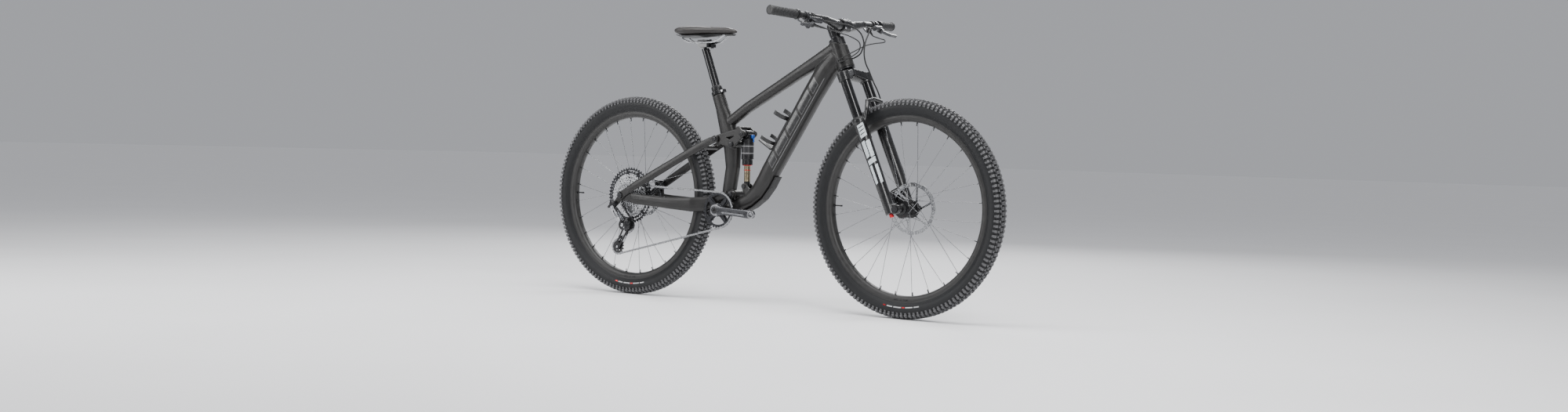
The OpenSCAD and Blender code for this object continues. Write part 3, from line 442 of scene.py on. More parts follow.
def bolt(p, direction, r=4.0, h=2.2, socket=2.5):
    """A round-headed bolt with a hex socket; direction points out of its head. Millimetres."""
    head = mm([(0.001, h * 0.35), (socket, h * 0.35), (socket, h), (r * 0.85, h), (r, h * 0.75), (r, -0.6)])
    n, k = 24, len(head)
    verts = []
    for i in range(n):
        a = TAU * i / n
        for j, (rr, z) in enumerate(head):
            if j in (1, 2):  # the socket's flats
                rr = rr * 0.92 / cos(a % (TAU / 6) - TAU / 12) * 0.93
            verts.append((*polar(rr, a), z))
    faces = [[i * k + q, (i + 1) % n * k + q, (i + 1) % n * k + q + 1, i * k + q + 1] for i in range(n)
             for q in range(k - 1)]
    crosswise = abs(Vector(direction).normalized().y) > 0.7
    return moved((verts, faces), along(direction, p, (0.31, 0.2, 0.93) if crosswise else (0, 1, 0)))


def bolts(name, body, *specs):
    return piece(name, *join(*[bolt(*s) for s in specs]), STEEL, body, angle=30)


# ---- wheels, drawn round Z with the outer side up, then turned across the bike ----

TYRE_RADIUS = 366
TREAD_PITCHES = 136
SPOKES = 28


def arc_mark(side, a0, a1, steps, edges):
    """A thin marking on one side of a wheel, between two (radius, height) edges in millimetres."""
    rows = []
    for q in range(steps + 1):
        a = a0 + (a1 - a0) * q / steps
        rows.append([Vector((*polar(r / 1000, a if side < 0 else pi - a), side * h / 1000)) for r, h in edges])
    return grid(rows)


def tyre(name, hub, body, node):
    wall = mm([(309, 14.0), (314.5, 17.2), (316.6, 18.3), (319, 19.4), (324, 23.2), (331, 26.8), (339, 28.6),
               (347, 28.4), (354, 25.9), (359.5, 21.6), (363.3, 15.5), (365.6, 8), (TYRE_RADIUS + 0.4, 0)])
    profile = wall + [(r, -h) for r, h in wall[-2::-1]]
    m = across(hub)
    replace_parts(piece(name, *lathe(profile, 128, caps=False), SIDEWALL, body, m, angle=60), node)
    verts, faces = [], []

    def base_radius(y):
        y = abs(y) / 1000
        for (r1, h1), (r0, h0) in zip(wall[4:], wall[5:]):
            if h0 <= y <= h1:
                return 1000 * (r0 + (r1 - r0) * (y - h0) / (h1 - h0 + 1e-9))
        return 356.0

    def knob(theta, y, tilt, length, width, height, skew=0.0):
        """One tread block: theta round the wheel, y across it, tilt its lean outward."""
        c, s = cos(tilt), sin(tilt)
        k = len(verts)
        for up, grow in ((-1.5, 1.12), (height - 0.8, 1.0), (height, 0.84)):
            for a, b in ((-1, -1), (1, -1), (1, 1), (-1, 1)):
                t = a * length / 2 * grow + skew * b * width / 2
                w = b * width / 2 * grow
                r = base_radius(y) + up * c - w * s
                verts.append((*polar(r / 1000, theta + t / TYRE_RADIUS), (y + up * s + w * c) / 1000))
        faces.append([k + 8, k + 9, k + 10, k + 11])
        for q in (0, 4):
            for i in range(4):
                j = (i + 1) % 4
                faces.append([k + q + i, k + q + j, k + q + 4 + j, k + q + 4 + i])

    step = TAU / TREAD_PITCHES
    for i in range(TREAD_PITCHES):
        a, edge = step * i, step * i + step * 0.5
        wide = i % 2 == 0
        for side in (-1, 1):
            for q in (-1, 1):  # each centre block has a sipe across it
                knob(a + q * 2.75 / TYRE_RADIUS, side * (5.2 if wide else 7.2), side * 0.05, 4.9, 8.2 if wide else 7.0,
                     5.85, side * 0.12)
            knob(edge, side * (14.4 if wide else 15.6), side * 0.38, 7.6, 6.0, 4.6, -side * 0.18)
            knob(edge, side * 22.9, side * 0.86, 8.6, 9.4 if wide else 7.8, 7.4, side * 0.08)
            knob(edge, side * 26.4, side * 1.25, 7.0, 6.4 if wide else 8.6, 3.2)
    piece(name + "_tread", verts, faces, KNOB, body, m, flat=True)
    # moulded rings and a plain dashed marking on each wall
    rings = [lathe(mm([(r + w * cos(TAU * q / 6), side * (h + w * sin(TAU * q / 6))) for q in range(6)]), 128,
                   closed=True) for side in (-1, 1) for r, h, w in ((321.5, 21.2, 0.5), (325.5, 24.0, 0.35),
        (350.5, 27.4, 0.45))]
    piece(name + "_wall_rings", *join(*rings), SIDEWALL, body, m, angle=70)
    pale, red = [(-1.80, -1.74), (-1.725, -1.64), (-1.59, -1.50), (-1.485, -1.42)], [(-1.63, -1.60), (-1.405, -1.375)]
    for label, spans, mat in (("_wall_marks", pale, PALE), ("_wall_dots", red, RED)):
        marks = [arc_mark(side, a0, a1, 12, ((329.6, 26.75), (333.2, 27.6))) for side in (-1, 1) for a0, a1 in spans]
        piece(name + label, *join(*marks), mat, body, m)


def rim(name, hub, body, node):
    half = mm([(316, 15.2), (316, 17.4), (315.6, 18.0), (314.8, 18.2), (313.6, 17.7), (312.6, 18.25), (309, 18.6),
               (305, 18.5), (301.5, 17.6), (298, 15.6), (295, 12.2), (293.2, 7.5), (292.8, 0)])
    inside = mm([(316, 15.2), (309.6, 14.6), (306.4, 11.5), (306, 0)])
    profile = half + [(r, -h) for r, h in half[-2::-1]] + [(r, -h) for r, h in inside[1:]] + inside[-2:0:-1]
    m = across(hub)
    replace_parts(piece(name, *lathe(profile, 160, closed=True), CARBON_RIM, body, m, angle=32), node)
    marks = [arc_mark(side, a0, a1, 6, ((303.5, 18.36), (309.5, 18.72)))
             for side in (-1, 1) for a0, a1 in ((-1.66, -1.60), (-1.585, -1.555), (-1.54, -1.48))]
    piece(name + "_marks", *join(*marks), BLACK, body, m)
    nipples = []
    for i in range(SPOKES):
        a = TAU * (i + 0.5) / SPOKES
        side = 1 if i % 2 == 0 else -1
        p, q = [Vector((*polar(r, a), h * side)) / 1000 for r, h in ((293.4, 2.5), (30, 25))]
        nipples.append(turned([(0.6, 12.5), (1.5, 12.3), (1.7, 11), (1.75, 4), (2.4, 3), (2.6, -1.2)], 8,
                              along(q - p, p, (0, 0, 1))))
    piece(name + "_nipples", *join(*nipples), BLACK, body, m)
    valve = turned([(2.9, 34), (3.2, 33), (3.2, 26), (2.7, 25.5), (2.7, 6), (4.2, 5.5), (4.4, 1), (4.0, -2)], 14,
                   along((-1, 0, 0), (0.294, 0, 0), (0, 0, 1)))
    piece(name + "_valve", *valve, BLACK, body, m)


tyre("front_tyre_knobbly", FRONT, "front_wheel", "front_tyre")
tyre("rear_tyre_knobbly", REAR, "rear_wheel", "rear_tyre")
rim("front_rim_hoop", FRONT, "front_wheel", "front_rim")
rim("rear_rim_hoop", REAR, "rear_wheel", "rear_rim")
finish_node("front_spokes", SPOKE)
finish_node("rear_spokes", SPOKE)


def rotor(name, hub, body, node, r, y):
    """A vented brake rotor: a wavy ring with slots, swept arms and a black carrier."""
    arms = 6
    waves = [TAU * i / 144 for i in range(144)]
    loops = [[polar(r - 1.0 + 0.9 * cos(12 * a), a) for a in waves]]
    for i in range(arms):
        a, w = TAU * i / arms, TAU / arms
        loops.append(arc(r - 14.5, a + 0.35, w - 0.10, 12) + arc(30.0, a + 0.11, w - 0.22, 8)[::-1])
    for i in range(2 * arms):
        a = TAU * (i + 0.5) / (2 * arms)
        for off, inset, length, tilt in ((-0.12, 5.0, 3.0, 1.1), (-0.12, 10.2, 2.4, 1.1), (0.02, 4.9, 2.6, 0.65),
                                         (0.02, 10.0, 2.2, 0.65), (0.15, 7.6, 4.6, 0.25)):
            loops.append(slot_loop(*polar(r - inset, a + off), length, 2.5, a + off + tilt))
    loops.append(circle(24, 36))
    m = Matrix.Translation(hub)
    disc = plate([mm(q) for q in loops], (y - 0.9) / 1000, (y + 0.9) / 1000, 0.00025)
    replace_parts(piece(name, *disc, ROTOR, body, m, angle=25), node)
    star = [polar((27.5 + 4.5 * max(0, cos(arms * a)) ** 3) / 1000, a) for a in [TAU * i / 72 for i in range(72)]]
    inner, outer = (y - 1.9) / 1000, (y + 2.6) / 1000
    carrier = plate([star, mm(circle(19.1, 36))], inner, outer, 0.0005)
    ring = moved(lathe(mm([(19.2, 2.4), (25, 2.6), (25.6, 3.4), (25.2, 4.6), (22.5, 5.4), (19.2, 5.4)]), 48,
                       caps=False), across((0, y / 1000, 0)))
    rivets = []
    for i in range(arms):
        x, z = polar(0.0292, TAU * i / arms)
        rivets += [bolt((x, inner, z), (0, -1, 0), 2.6, 0.6, 1.2), bolt((x, outer, z), (0, 1, 0), 2.6, 0.6, 1.2)]
    piece(name + "_carrier", *join(carrier, ring, *rivets), BLACK, body, m, angle=30)


rotor("front_rotor_disc", FRONT, "front_wheel", "front_rotor", 90, 38)
rotor("rear_rotor_disc", REAR, "rear_wheel", "rear_rotor", 80, 57)


def hub_shell(name, hub, body, node, left, right, low, high, rotor_y):
    """A hub: two flanges, a waisted shell and stepped end caps."""
    prof = [(8, low), (10.2, low), (10.4, low + 1.4), (12, low + 1.8), (12.2, right - 11), (15.5, right - 9),
            (19, right - 7), (19.4, right - 3), (31, right - 1.6), (32, right - 0.8), (32, right + 0.8),
            (31, right + 1.6), (21, right + 3), (17.5, right + 7), (15.6, right + 12), (15.4, (left + right) / 2),
            (15.6, left - 12), (17.5, left - 7), (21, left - 3), (31, left - 1.6), (32, left - 0.8), (32, left + 0.8),
            (31, left + 1.6), (20.5, left + 3), (19, left + 5), (18.8, rotor_y + 2.8), (14, rotor_y + 3.0),
            (12.4, rotor_y + 4.2), (12, high - 2), (10.4, high - 1.6), (10.2, high), (8, high)]
    if right - low > 40:  # the freehub side carries the sprockets
        prof = [(8, low), (12.5, low), (12.5, low + 2), (16.0, low + 2.2), (16.0, right - 3)] + prof[8:]
    o = piece(name, *lathe(mm(prof), 48, closed=True), BLACK, body, across(hub), angle=28)
    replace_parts(o, node)


hub_shell("front_hub_shell", FRONT, "front_wheel", "front_hub", 27, -27, -54.7, 54.7, 38)
hub_shell("rear_hub_shell", REAR, "rear_wheel", "rear_hub", 34, -20, -72, 73.7, 57)

finish_node("front_axle", BLACK)
finish_node("rear_axle", BLACK)


# ---- drivetrain ----

PITCH = 12.7  # millimetres between two rollers
RING_TEETH, CHAIN_COG_TEETH, PULLEY_TEETH = 32, 21, 13  # the wheels that the chain runs on


def pitch_radius(teeth):
    return PITCH / 2 / sin(pi / teeth)


def teeth(count, tip=2.3):
    """A sprocket's outline, with rounded roller seats and chamfered tooth tips."""
    step = TAU / count
    profile = ((-0.5, -3.9), (-0.40, -3.6), (-0.31, -2.6), (-0.24, -0.6), (-0.15, tip - 0.7), (-0.07, tip),
               (0.07, tip), (0.15, tip - 0.7), (0.24, -0.6), (0.31, -2.6), (0.40, -3.6))
    return [polar((pitch_radius(count) + dr) / 1000, step * (i + 0.5) + da * step) for i in range(count)
            for da, dr in profile]


CHAIN_Y = middle("chain").y
COG_Y = [(-67.9 + 3.58 * i) / 1000 for i in range(12)]
COG_TEETH = [10, 12, 14, 16, 18, 21, 24, 28, 33, 39, 45, 51]


def sprocket(i):
    count = COG_TEETH[i]
    pr = pitch_radius(count)
    loops = [teeth(count)]
    if count >= 18:
        low, high = 24.0 if count < 24 else 27.0, pr - 8.2
        arms = 6 if count < 28 else 8 if count < 39 else 10
        sweep = 0.35 if count < 33 else 0.5
        w = TAU / arms
        gap_in, gap_out = 0.30 * w, 0.16 * w
        if high - low > 4:
            for k in range(arms):
                a = TAU * k / arms
                loops.append(arc(high / 1000, a + sweep + gap_out / 2, w - gap_out, 8)
                             + arc(low / 1000, a + gap_in / 2, w - gap_in, 6)[::-1])
    if count >= 33:  # a ring of small drillings under the teeth
        holes = count // 3
        loops += [circle(0.0013, 8, *polar((pr - 5.9) / 1000, TAU * (k + 0.5) / holes)) for k in range(holes)]
    loops.append(circle(0.0163, 32))
    return plate(loops, COG_Y[i] - 0.0008, COG_Y[i] + 0.0008, 0.0002)


def make_cassette():
    m = Matrix.Translation(REAR)
    silver = join(*[sprocket(i) for i in range(10)])
    dark = join(*[sprocket(i) for i in (10, 11)])
    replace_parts(piece("cassette_sprockets", *silver, COG, "cassette", m, angle=25), "cassette")
    piece("cassette_large_sprockets", *dark, COG_DARK, "cassette", m, angle=25)
    body = turned([(16.3, -68.5), (17.2, -68.5), (17.2, -23.5), (16.3, -23.5)], 40, ACROSS, closed=True)
    lock = turned([(12.6, -69.6), (14.2, -70.0), (16.6, -69.8), (17.2, -68.6), (16.4, -68.4), (12.6, -68.4)], 40,
                  ACROSS, closed=True)
    piece("cassette_core", *join(body, lock), BLACK, "cassette", m, angle=28)


make_cassette()


def chain_runs():
    """The chain's line in millimetres: wheels in order, each turned about with its sense."""
    wheels = [(Vector((p.x, p.z)) * 1000, pitch_radius(count), sense) for p, count,
              sense in ((BB, RING_TEETH, 1), (REAR, CHAIN_COG_TEETH, 1), (GUIDE, PULLEY_TEETH, -1),
                        (TENSION, PULLEY_TEETH, 1))]

    def run_angle(i):
        (c0, r0, sense0), (c1, r1, sense1) = wheels[i % 4], wheels[(i + 1) % 4]
        v = c1 - c0
        return atan2(v.y, v.x) - asin((sense1 * r1 - sense0 * r0) / v.length)

    pts = []
    for i, (c, r, sense) in enumerate(wheels):
        a0, a1 = run_angle(i + 3), run_angle(i)
        sweep = (a1 - a0) % TAU if sense > 0 else -((a0 - a1) % TAU)
        for k in range(41):
            a = a0 + sweep * k / 40
            pts.append((c + sense * r * Vector((sin(a), -cos(a))), ("run%d" if k == 40 else "wrap%d") % i))
    return pts


def chain_link(half, outer):
    """One link between two rollers, along X: its pair of side plates, its rivets and a roller."""
    inside, thick = (0.0021, 0.0005) if outer else (0.0014, 0.0006)
    outline = []
    for end, a0 in ((1, -1.25), (-1, pi - 1.25)):
        outline += [(end * half + x, z) for x, z in arc(0.0040, a0, 2.5, 5)] + [(0, end * 0.0030)]
    k = len(outline)
    faces = [list(range(k)), list(range(k, 2 * k))] + [[a, (a + 1) % k, k + (a + 1) % k, k + a] for a in range(k)]
    parts = [([(x, s * inside, z) for x, z in outline] + [(x * 0.985, s * (inside + thick), z * 0.95)
        for x, z in outline], faces) for s in (-1, 1)]
    for end in (-1, 1) if outer else ():
        parts.append(turned([(1.7, -2.75), (1.7, 2.75)], 8, Matrix.Translation((end * half, 0, 0)) @ ACROSS))
    parts.append(turned([(3.65, -1.35), (3.65, 1.35)], 10, Matrix.Translation((half, 0, 0)) @ ACROSS))
    return join(*parts)


def make_chain():
    pts = chain_runs()
    n = len(pts)
    where = [0.0]
    for i in range(n):
        where.append(where[-1] + (pts[(i + 1) % n][0] - pts[i][0]).length)
    total = where[-1]
    count = 2 * round(total / PITCH / 2)
    step = total / count

    def place(s):
        s %= total
        k = next(j for j in range(n) if where[j + 1] >= s)
        t = (s - where[k]) / max(1e-9, where[k + 1] - where[k])
        return pts[k][0].lerp(pts[(k + 1) % n][0], t), pts[k][1]

    groups = {}
    for i in range(count):
        p, q, kind = place(i * step)[0], place((i + 1) * step)[0], place((i + 0.5) * step)[1]
        c, d = (p + q) / 2000, (q - p).normalized()
        m = Matrix(((d.x, 0, -d.y, c.x), (0, 1, 0, CHAIN_Y), (d.y, 0, d.x, c.y), (0, 0, 0, 1)))
        groups.setdefault(kind, []).append(moved(chain_link(step / 2000, i % 2 == 0), m))
    lower = groups.pop("run3")
    halfway = len(lower) // 2
    groups["run3a"], groups["run3b"] = lower[:halfway], lower[halfway:]
    rides = {"wrap0": "frame", "wrap1": "chainstay", "run1": "chainstay"}
    ends = {"run0": ("frame", "chainstay"), "run3a": ("derailleur_cage", "chainstay"), "run3b": ("chainstay", "frame")}
    done = []
    for kind, parts in groups.items():
        body = None if kind in ends else rides.get(kind, "derailleur_cage")
        o = piece("chain_" + kind, *join(*parts), CHAIN, body, angle=30)
        if not body:
            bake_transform(o)
        done.append(o)
    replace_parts(done[0], "chain")


make_chain()


def make_chainring():
    pr = pitch_radius(RING_TEETH)
    spider = [TAU / 8 + TAU / 4 * i for i in range(4)]
    loops = [teeth(RING_TEETH)]
    for a in spider:
        inner = []
        for q in range(7):
            t = a + 0.42 + (TAU / 4 - 0.84) * (1 - q / 6)
            inner.append(polar((23.0 + 3.0 * abs(1 - 2 * q / 6) ** 2) / 1000, t))
        loops.append(arc((pr - 11.5) / 1000, a + 0.20, TAU / 4 - 0.40, 10) + inner)
    loops += [circle(0.0012, 8, *polar((pr - 7.2) / 1000, TAU * (i + 0.5) / 16)) for i in range(16)]
    loops.append(circle(0.0121, 32))
    y = CHAIN_Y
    m = Matrix.Translation((BB.x, 0, BB.z))
    ring = plate(loops, y - 0.0009, y + 0.0009, 0.00025)
    outline = mm([(20, -10.5), (34, -5.8), (50, -4.6), (54.5, 0), (50, 4.6), (34, 5.8), (20, 10.5)])
    arms = [plate([[(x * cos(a) - z * sin(a), x * sin(a) + z * cos(a)) for x, z in outline]], y - 0.0042, y - 0.0006,
                  0.0006) for a in spider]
    mount = turned([(12.2, -49), (24, -49), (24.6, -50.5), (24.2, -54.8), (22.4, -55.4), (20.4, -57), (12.2, -57)], 48,
                   ACROSS, closed=True)
    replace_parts(piece("chainring_star", *join(ring, *arms, mount), COG_DARK, "crankset", m, angle=28), "chainring")
    specs = []
    for i in range(8):
        x, z = polar(0.0212, TAU * i / 8)
        specs.append((m @ Vector((x, -0.0552, z)), (0, -1, 0), 1.9, 0.9, 1.0))
    bolts("chainring_bolts", "crankset", *specs)


make_chainring()


def crank(name, side, node):
    """A forged crank arm with a shallow channel in its outer face."""
    dip, flare, length = radians(3), radians(4.5), 0.170
    d, out = Vector((cos(dip) * side, 0, -sin(dip) * side)), Vector((0, -side, 0))
    run = (d * cos(flare) + out * sin(flare)).normalized()
    wide = Vector((sin(dip), 0, cos(dip)))
    face = run.cross(wide).normalized()
    if face.dot(out) < 0:
        face = -face
    base = Vector((BB.x, 0, BB.z)) + out * 0.064
    end = base + d * length + out * length * tan(flare)
    # along the arm: distance, width and thickness
    steps = [(-0.0195, 0.3, 0.75), (-0.0185, 0.52, 0.9), (-0.0155, 0.76, 1), (-0.009, 0.95, 1), (0.0, 1.0, 1),
             (0.012, 0.97, 1), (0.024, 0.84, 1), (0.038, 0.76, 1), (0.060, 0.72, 1), (0.090, 0.72, 1),
             (0.120, 0.74, 1), (0.140, 0.78, 1), (0.155, 0.80, 1), (0.1703, 0.79, 1), (0.1785, 0.66, 1),
             (0.1825, 0.44, 0.9), (0.1845, 0.2, 0.75)]
    rings = []
    for s, w, t in curve_points(steps, 4):
        half_width, half_thick = 0.0192 * w, (0.0062 if s < 0.03 else 0.0058) * t
        groove = 0.0016 * max(0.0, min(1.0, (s - 0.026) / 0.012)) * max(0.0, min(1.0, (0.150 - s) / 0.012))
        ring = []
        for k in range(56):
            c, q = polar(1, TAU * k / 56)
            u = half_width * copysign(abs(c) ** 0.62, c)
            v = half_thick * copysign(abs(q) ** 0.40, q)
            if v > 0:
                v -= groove * exp(-(u / (0.52 * half_width)) ** 4)
            ring.append(base + run * s + wide * u + face * v)
        rings.append(ring)
    o = piece(name, *loft(rings), CRANK, "crankset", None, angle=34)
    cutters = []
    for centre, r in ((base, 12.1), (end, 7.16)):
        v, f = turned([(r, -20), (r, 20)], 40, along(out, centre))
        me = bpy.data.meshes.new("cutter")
        me.from_pydata(v, [], f)
        cutters.append(linked("cutter", me))
        c = o.modifiers.new("cut", "BOOLEAN")
        c.operation = "DIFFERENCE"
        c.object = cutters[-1]
        c.solver = "EXACT"
    baked(o).set_sharp_from_angle(angle=radians(34))
    for cutter in cutters:
        bpy.data.objects.remove(cutter)
    boss = turned([(12.1, -6.5), (20.4, -6.5), (21, -6), (21, -4.5), (20.6, 5.4), (19.6, 6.5), (14.6, 6.7),
                   (14.2, 5.4), (12.1, 5.2)], 48, along(out, base), closed=True)
    thread = turned([(7.16, -6.6), (14.0, -6.6), (14.4, -6.2), (14.4, 5.4), (13.8, 6.3), (9.6, 6.5), (8.9, 5.6),
                     (7.16, 5.2)], 32, along(out, end), closed=True)
    piece(name + "_bosses", *join(boss, thread), CRANK, "crankset", None, angle=34)
    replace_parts(o, node)
    bolt_end = turned([(0.001, 4.4), (4.6, 4.4), (4.8, 6.9), (8.4, 7.0), (9.0, 6.4), (11.6, 6.2), (12.0, 5.6),
                       (12.0, 3)], 36, along(out, base))
    piece(name + "_axle_bolt", *bolt_end, BLACK, "crankset", None, angle=30)


crank("crank_arm_right", 1, "crank_right")
crank("crank_arm_left", -1, "crank_left")
o = piece("crank_axle", *moved(lathe([(0.009, -0.068), (0.0119, -0.068), (0.0119, 0.066), (0.009, 0.066)], 36,
                                     closed=True), across(BB)), STEEL, "crankset", None, angle=30)

# ---- floor, light and camera ----

def pale_floor():
    reach = 60.0
    me = bpy.data.meshes.new("floor")
    me.from_pydata([(-reach, -reach, 0), (reach, -reach, 0), (reach, reach, 0), (-reach, reach, 0)], [],
                   [[0, 1, 2, 3]])
    me.materials.append(material("pale_floor", (0.80, 0.80, 0.81), 0.85, vary=0.012, scale=1.5, bump=0.002,
                                 bump_scale=60))
    linked("floor", me)


pale_floor()


def area_light(name, where, towards, size, power):
    d = bpy.data.lights.new(name, "AREA")
    d.shape = "RECTANGLE"
    d.size, d.size_y = size
    d.energy = power
    o = linked(name, d)
    o.location = where
    o.rotation_euler = (Vector(towards) - Vector(where)).to_track_quat("-Z", "Y").to_euler()


area_light("overhead", (0.4, -0.6, 3.4), (0, 0, 0.4), (4.5, 1.8), 190)
area_light("right_side", (3.6, -2.6, 2.4), (0, 0, 0.5), (1.2, 2.6), 120)
area_light("left_front", (-2.8, -3.2, 2.0), (0, 0, 0.5), (1.2, 2.6), 90)
area_light("rear_rim", (-1.5, 3.4, 2.6), (0, 0, 0.6), (3.0, 1.2), 90)
sky = bpy.data.lights.new("sky_fill", "SUN")
sky.energy = 0.42
sky.angle = radians(70)
linked("sky_fill", sky)

world = bpy.data.worlds.new("studio")
bpy.context.scene.world = world
world.use_nodes = True
world.node_tree.nodes["Background"].inputs[0].default_value = (0.92, 0.94, 1.0, 1)
world.node_tree.nodes["Background"].inputs[1].default_value = 0.44

camera_data = bpy.data.cameras.new("camera")
camera = linked("camera", camera_data)
camera_data.lens = 38.99
camera_data.sensor_width = 36
camera_data.clip_start = 0.05
yaw, pitch, roll = radians(35.5), radians(1.913), radians(1.617)
look = Vector((-sin(yaw) * cos(pitch), cos(yaw) * cos(pitch), -sin(pitch)))
level = Vector((cos(yaw), sin(yaw), 0))
up = level.cross(look)
right = cos(roll) * level + sin(roll) * up
pose = Matrix((right, cos(roll) * up - sin(roll) * level, -look)).transposed().to_4x4()
pose.translation = Vector((3.5814, -4.8919, 0.5613))
camera.matrix_world = pose
bpy.context.scene.camera = camera


# ---- frame ----

def tree_of(*objs):
    v, f = join(*[([p.co.copy() for p in o.data.vertices], [list(q.vertices) for q in o.data.polygons]) for o in objs])
    return BVHTree.FromPolygons(v, f)


def facing(tree, x, z, side):
    """Where a line across the bike first meets a surface from one side: point and normal."""
    hit = tree.ray_cast(Vector((x, side * 0.4, z)), Vector((0, -side, 0)))
    return (hit[0], hit[1]) if hit[0] is not None else (Vector((x, 0, z)), Vector((0, side, 0)))


body_shell = softened("main_frame", "frame_shell", CARBON, "frame", 2.0, 7, outer=True, angle=None)
chainstay_shell = softened("chainstays", "chainstay_shell", CARBON, "chainstay", 1.5, 5)
seatstay_shell = softened("seatstays", "seatstay_shell", CARBON, "seatstay", 1.4, 5)
rocker_shell = softened("rocker_link", "rocker_shell", CARBON, "rocker", 1.0, 5)
softened("seat_clamp", "seat_collar", BLACK, "frame", 0.8, 5)
softened("bottle_cage", "side_load_cage", PLASTIC, "frame", 0.9, 5)
softened("downtube_guard", "rubber_guard", RUBBER, "frame", 1.0, 5)
finish_node("frame_bearings", BLACK)
finish_node("pivot_axles", BLACK)
frame_tree = tree_of(body_shell)
rear_tree = tree_of(chainstay_shell, seatstay_shell, rocker_shell, NODE["pivot_axles"], body_shell)


def pivot_bolts():
    """Dished pivot bolts with hex sockets, set on whatever each pivot shows on the outside."""
    lower, upper, rear = at(478, 574), at(523, 613), at(410, 592)
    spots = {"frame": [(MAIN_PIVOT, 9.5, 4.0), (lower, 8.5, 3.0)], "seatstay": [(rear, 7.6, 3.0)],
             "rocker": [(upper, 7.6, 3.0)]}
    for body, items in spots.items():
        parts = []
        for c, r, socket in items:
            for side in (-1, 1):
                p, _ = facing(rear_tree, c.x, c.z, side)
                parts.append(bolt((c.x, p.y + side * 0.0001, c.z), (0, side, 0), r, 1.6, socket))
                collar = [(r + 0.2, -0.5), (r + 1.3, -0.5), (r + 1.3, 0.5), (r + 0.7, 0.9), (r + 0.2, 0.5)]
                parts.append(turned(collar, 32, along((0, side, 0), (c.x, p.y, c.z), (0, 0, 1)), closed=True))
        piece("pivot_bolts_" + body, *join(*parts), BLACK, body, angle=30)


pivot_bolts()


def down_tube_marks():
    """Plain slanted blocks and pinstripes along each side, in place of any lettering."""
    a, b = [Vector((p.x, p.z)) for p in (at(632, 483), at(860, 840))]
    d = (b - a).normalized()
    n = Vector((-d.y, d.x))
    slant, columns = 0.45, 6

    def strip(name, side, t0, t1, off, half, mat, lift):
        def spot(u, v):
            w = (v - 0.5) * 2 * half
            q = a.lerp(b, t0 + (t1 - t0) * u) + n * (off + w) + d * w * slant
            p, out = facing(frame_tree, q.x, q.y, side)
            return p + (-out if out.y * side < 0 else out) * lift

        rows = max(6, int(80 * (t1 - t0)))
        points = [[spot(i / rows, j / columns) for j in range(columns + 1)] for i in range(rows + 1)]
        piece(name, *grid(points), mat, "frame")

    for side, label in ((-1, "right"), (1, "left")):
        for k, (t0, t1) in enumerate(((0.07, 0.155), (0.19, 0.36), (0.395, 0.565), (0.60, 0.77), (0.805, 0.89))):
            strip("down_tube_outline_%s_%d" % (label, k), side, t0 - 0.0022, t1 + 0.0022, 0.001, 0.0149, LINE, 0.00022)
            strip("down_tube_block_%s_%d" % (label, k), side, t0, t1, 0.001, 0.0140, CARBON_BAR, 0.00034)
        strip("down_tube_line_%s" % label, side, 0.03, 0.95, -0.0215, 0.0006, LINE, 0.00025)


down_tube_marks()
specs = []
for side in (-1, 1):
    p, n = facing(frame_tree, at(929.5, 0).x, 0.870, side)
    rim_profile = [(3.4, -0.5), (8.2, -0.5), (8.0, 0.9), (6.6, 1.6), (4.0, 1.9), (3.4, 1.6)]
    specs.append(turned(rim_profile, 32, along(n, p, (0, 0, 1)) @ Matrix.Diagonal((1.5, 0.9, 1, 1)), closed=True))
piece("cable_port_grommets", *join(*specs), RUBBER, "frame", angle=40)

# dropper post, saddle clamp and rails
POST = along((cos(radians(111.3)), 0, sin(radians(111.3))), at(382, 761))
sleeve = [(15.3, -172), (17.4, -172), (17.4, 3.6), (18.0, 4), (19.8, 5), (20, 6), (20, 9), (19.3, 9.4), (19.3, 10.4),
          (20, 10.8), (20, 20), (19.4, 22.4), (17.6, 23.8), (15.9, 24), (15.9, 22), (15.3, 21)]
o = piece("dropper_sleeve", *lathe(mm(sleeve), 56, closed=True), BLACK, "frame", POST, angle=30)
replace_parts(o, "post_outer")
finish_node("post_inner", SLIDE)
softened("saddle_clamp", "saddle_cradle", CAST, "seatpost", 0.8, 4)
finish_node("saddle_rails", STEEL)
softened("saddle_shell", "saddle_base", PLASTIC, "seatpost", 1.2, 4)
bolts("saddle_clamp_bolts", "seatpost", (at(309, 921), (0, 0, -1), 4.0, 3.0, 2.0),
      (at(341, 921), (0, 0, -1), 4.0, 3.0, 2.0))
bolts("seat_collar_bolt", "frame", (POST @ Vector((0.0245, -0.009, -0.003)), (0, -1, 0), 4.2, 2.2, 2.1))


def saddle():
    """The padded cover: foam that swells under its skin, held at its lower edge."""
    inset, swell = 0.0012, 0.0025
    o = remeshed("saddle_cover", "saddle_pad", 4, 6)
    me = o.data
    normals = [v.normal.copy() for v in me.vertices]
    for v, n in zip(me.vertices, normals):
        v.co = v.co - n * inset
    g = o.vertex_groups.new(name="held")
    g.add([v.index for v in me.vertices if normals[v.index].z < -0.25], 1.0, "REPLACE")
    start = [v.co.copy() for v in me.vertices]
    c = o.modifiers.new("cloth", "CLOTH")
    c.settings.use_pressure = True
    c.settings.uniform_pressure_force = 4
    c.settings.vertex_group_mass = "held"
    c.settings.effector_weights.gravity = 0
    for f in range(1, 21):
        bpy.context.scene.frame_set(f)
    dg = bpy.context.evaluated_depsgraph_get()
    done = [v.co.copy() for v in o.evaluated_get(dg).data.vertices]
    o.modifiers.clear()
    bpy.context.scene.frame_set(1)
    for v, p, q in zip(me.vertices, start, done):
        d = q - p
        v.co = p + (d if d.length < swell else d.normalized() * swell)
    sub = o.modifiers.new("sub", "SUBSURF")
    sub.levels = 1
    sub.render_levels = 1
    shade(baked(o), SADDLE)
    o.vertex_groups.clear()
    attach(o, "seatpost")
    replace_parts(o, "saddle_cover")
    return o


pad = saddle()
pad_tree = tree_of(pad)


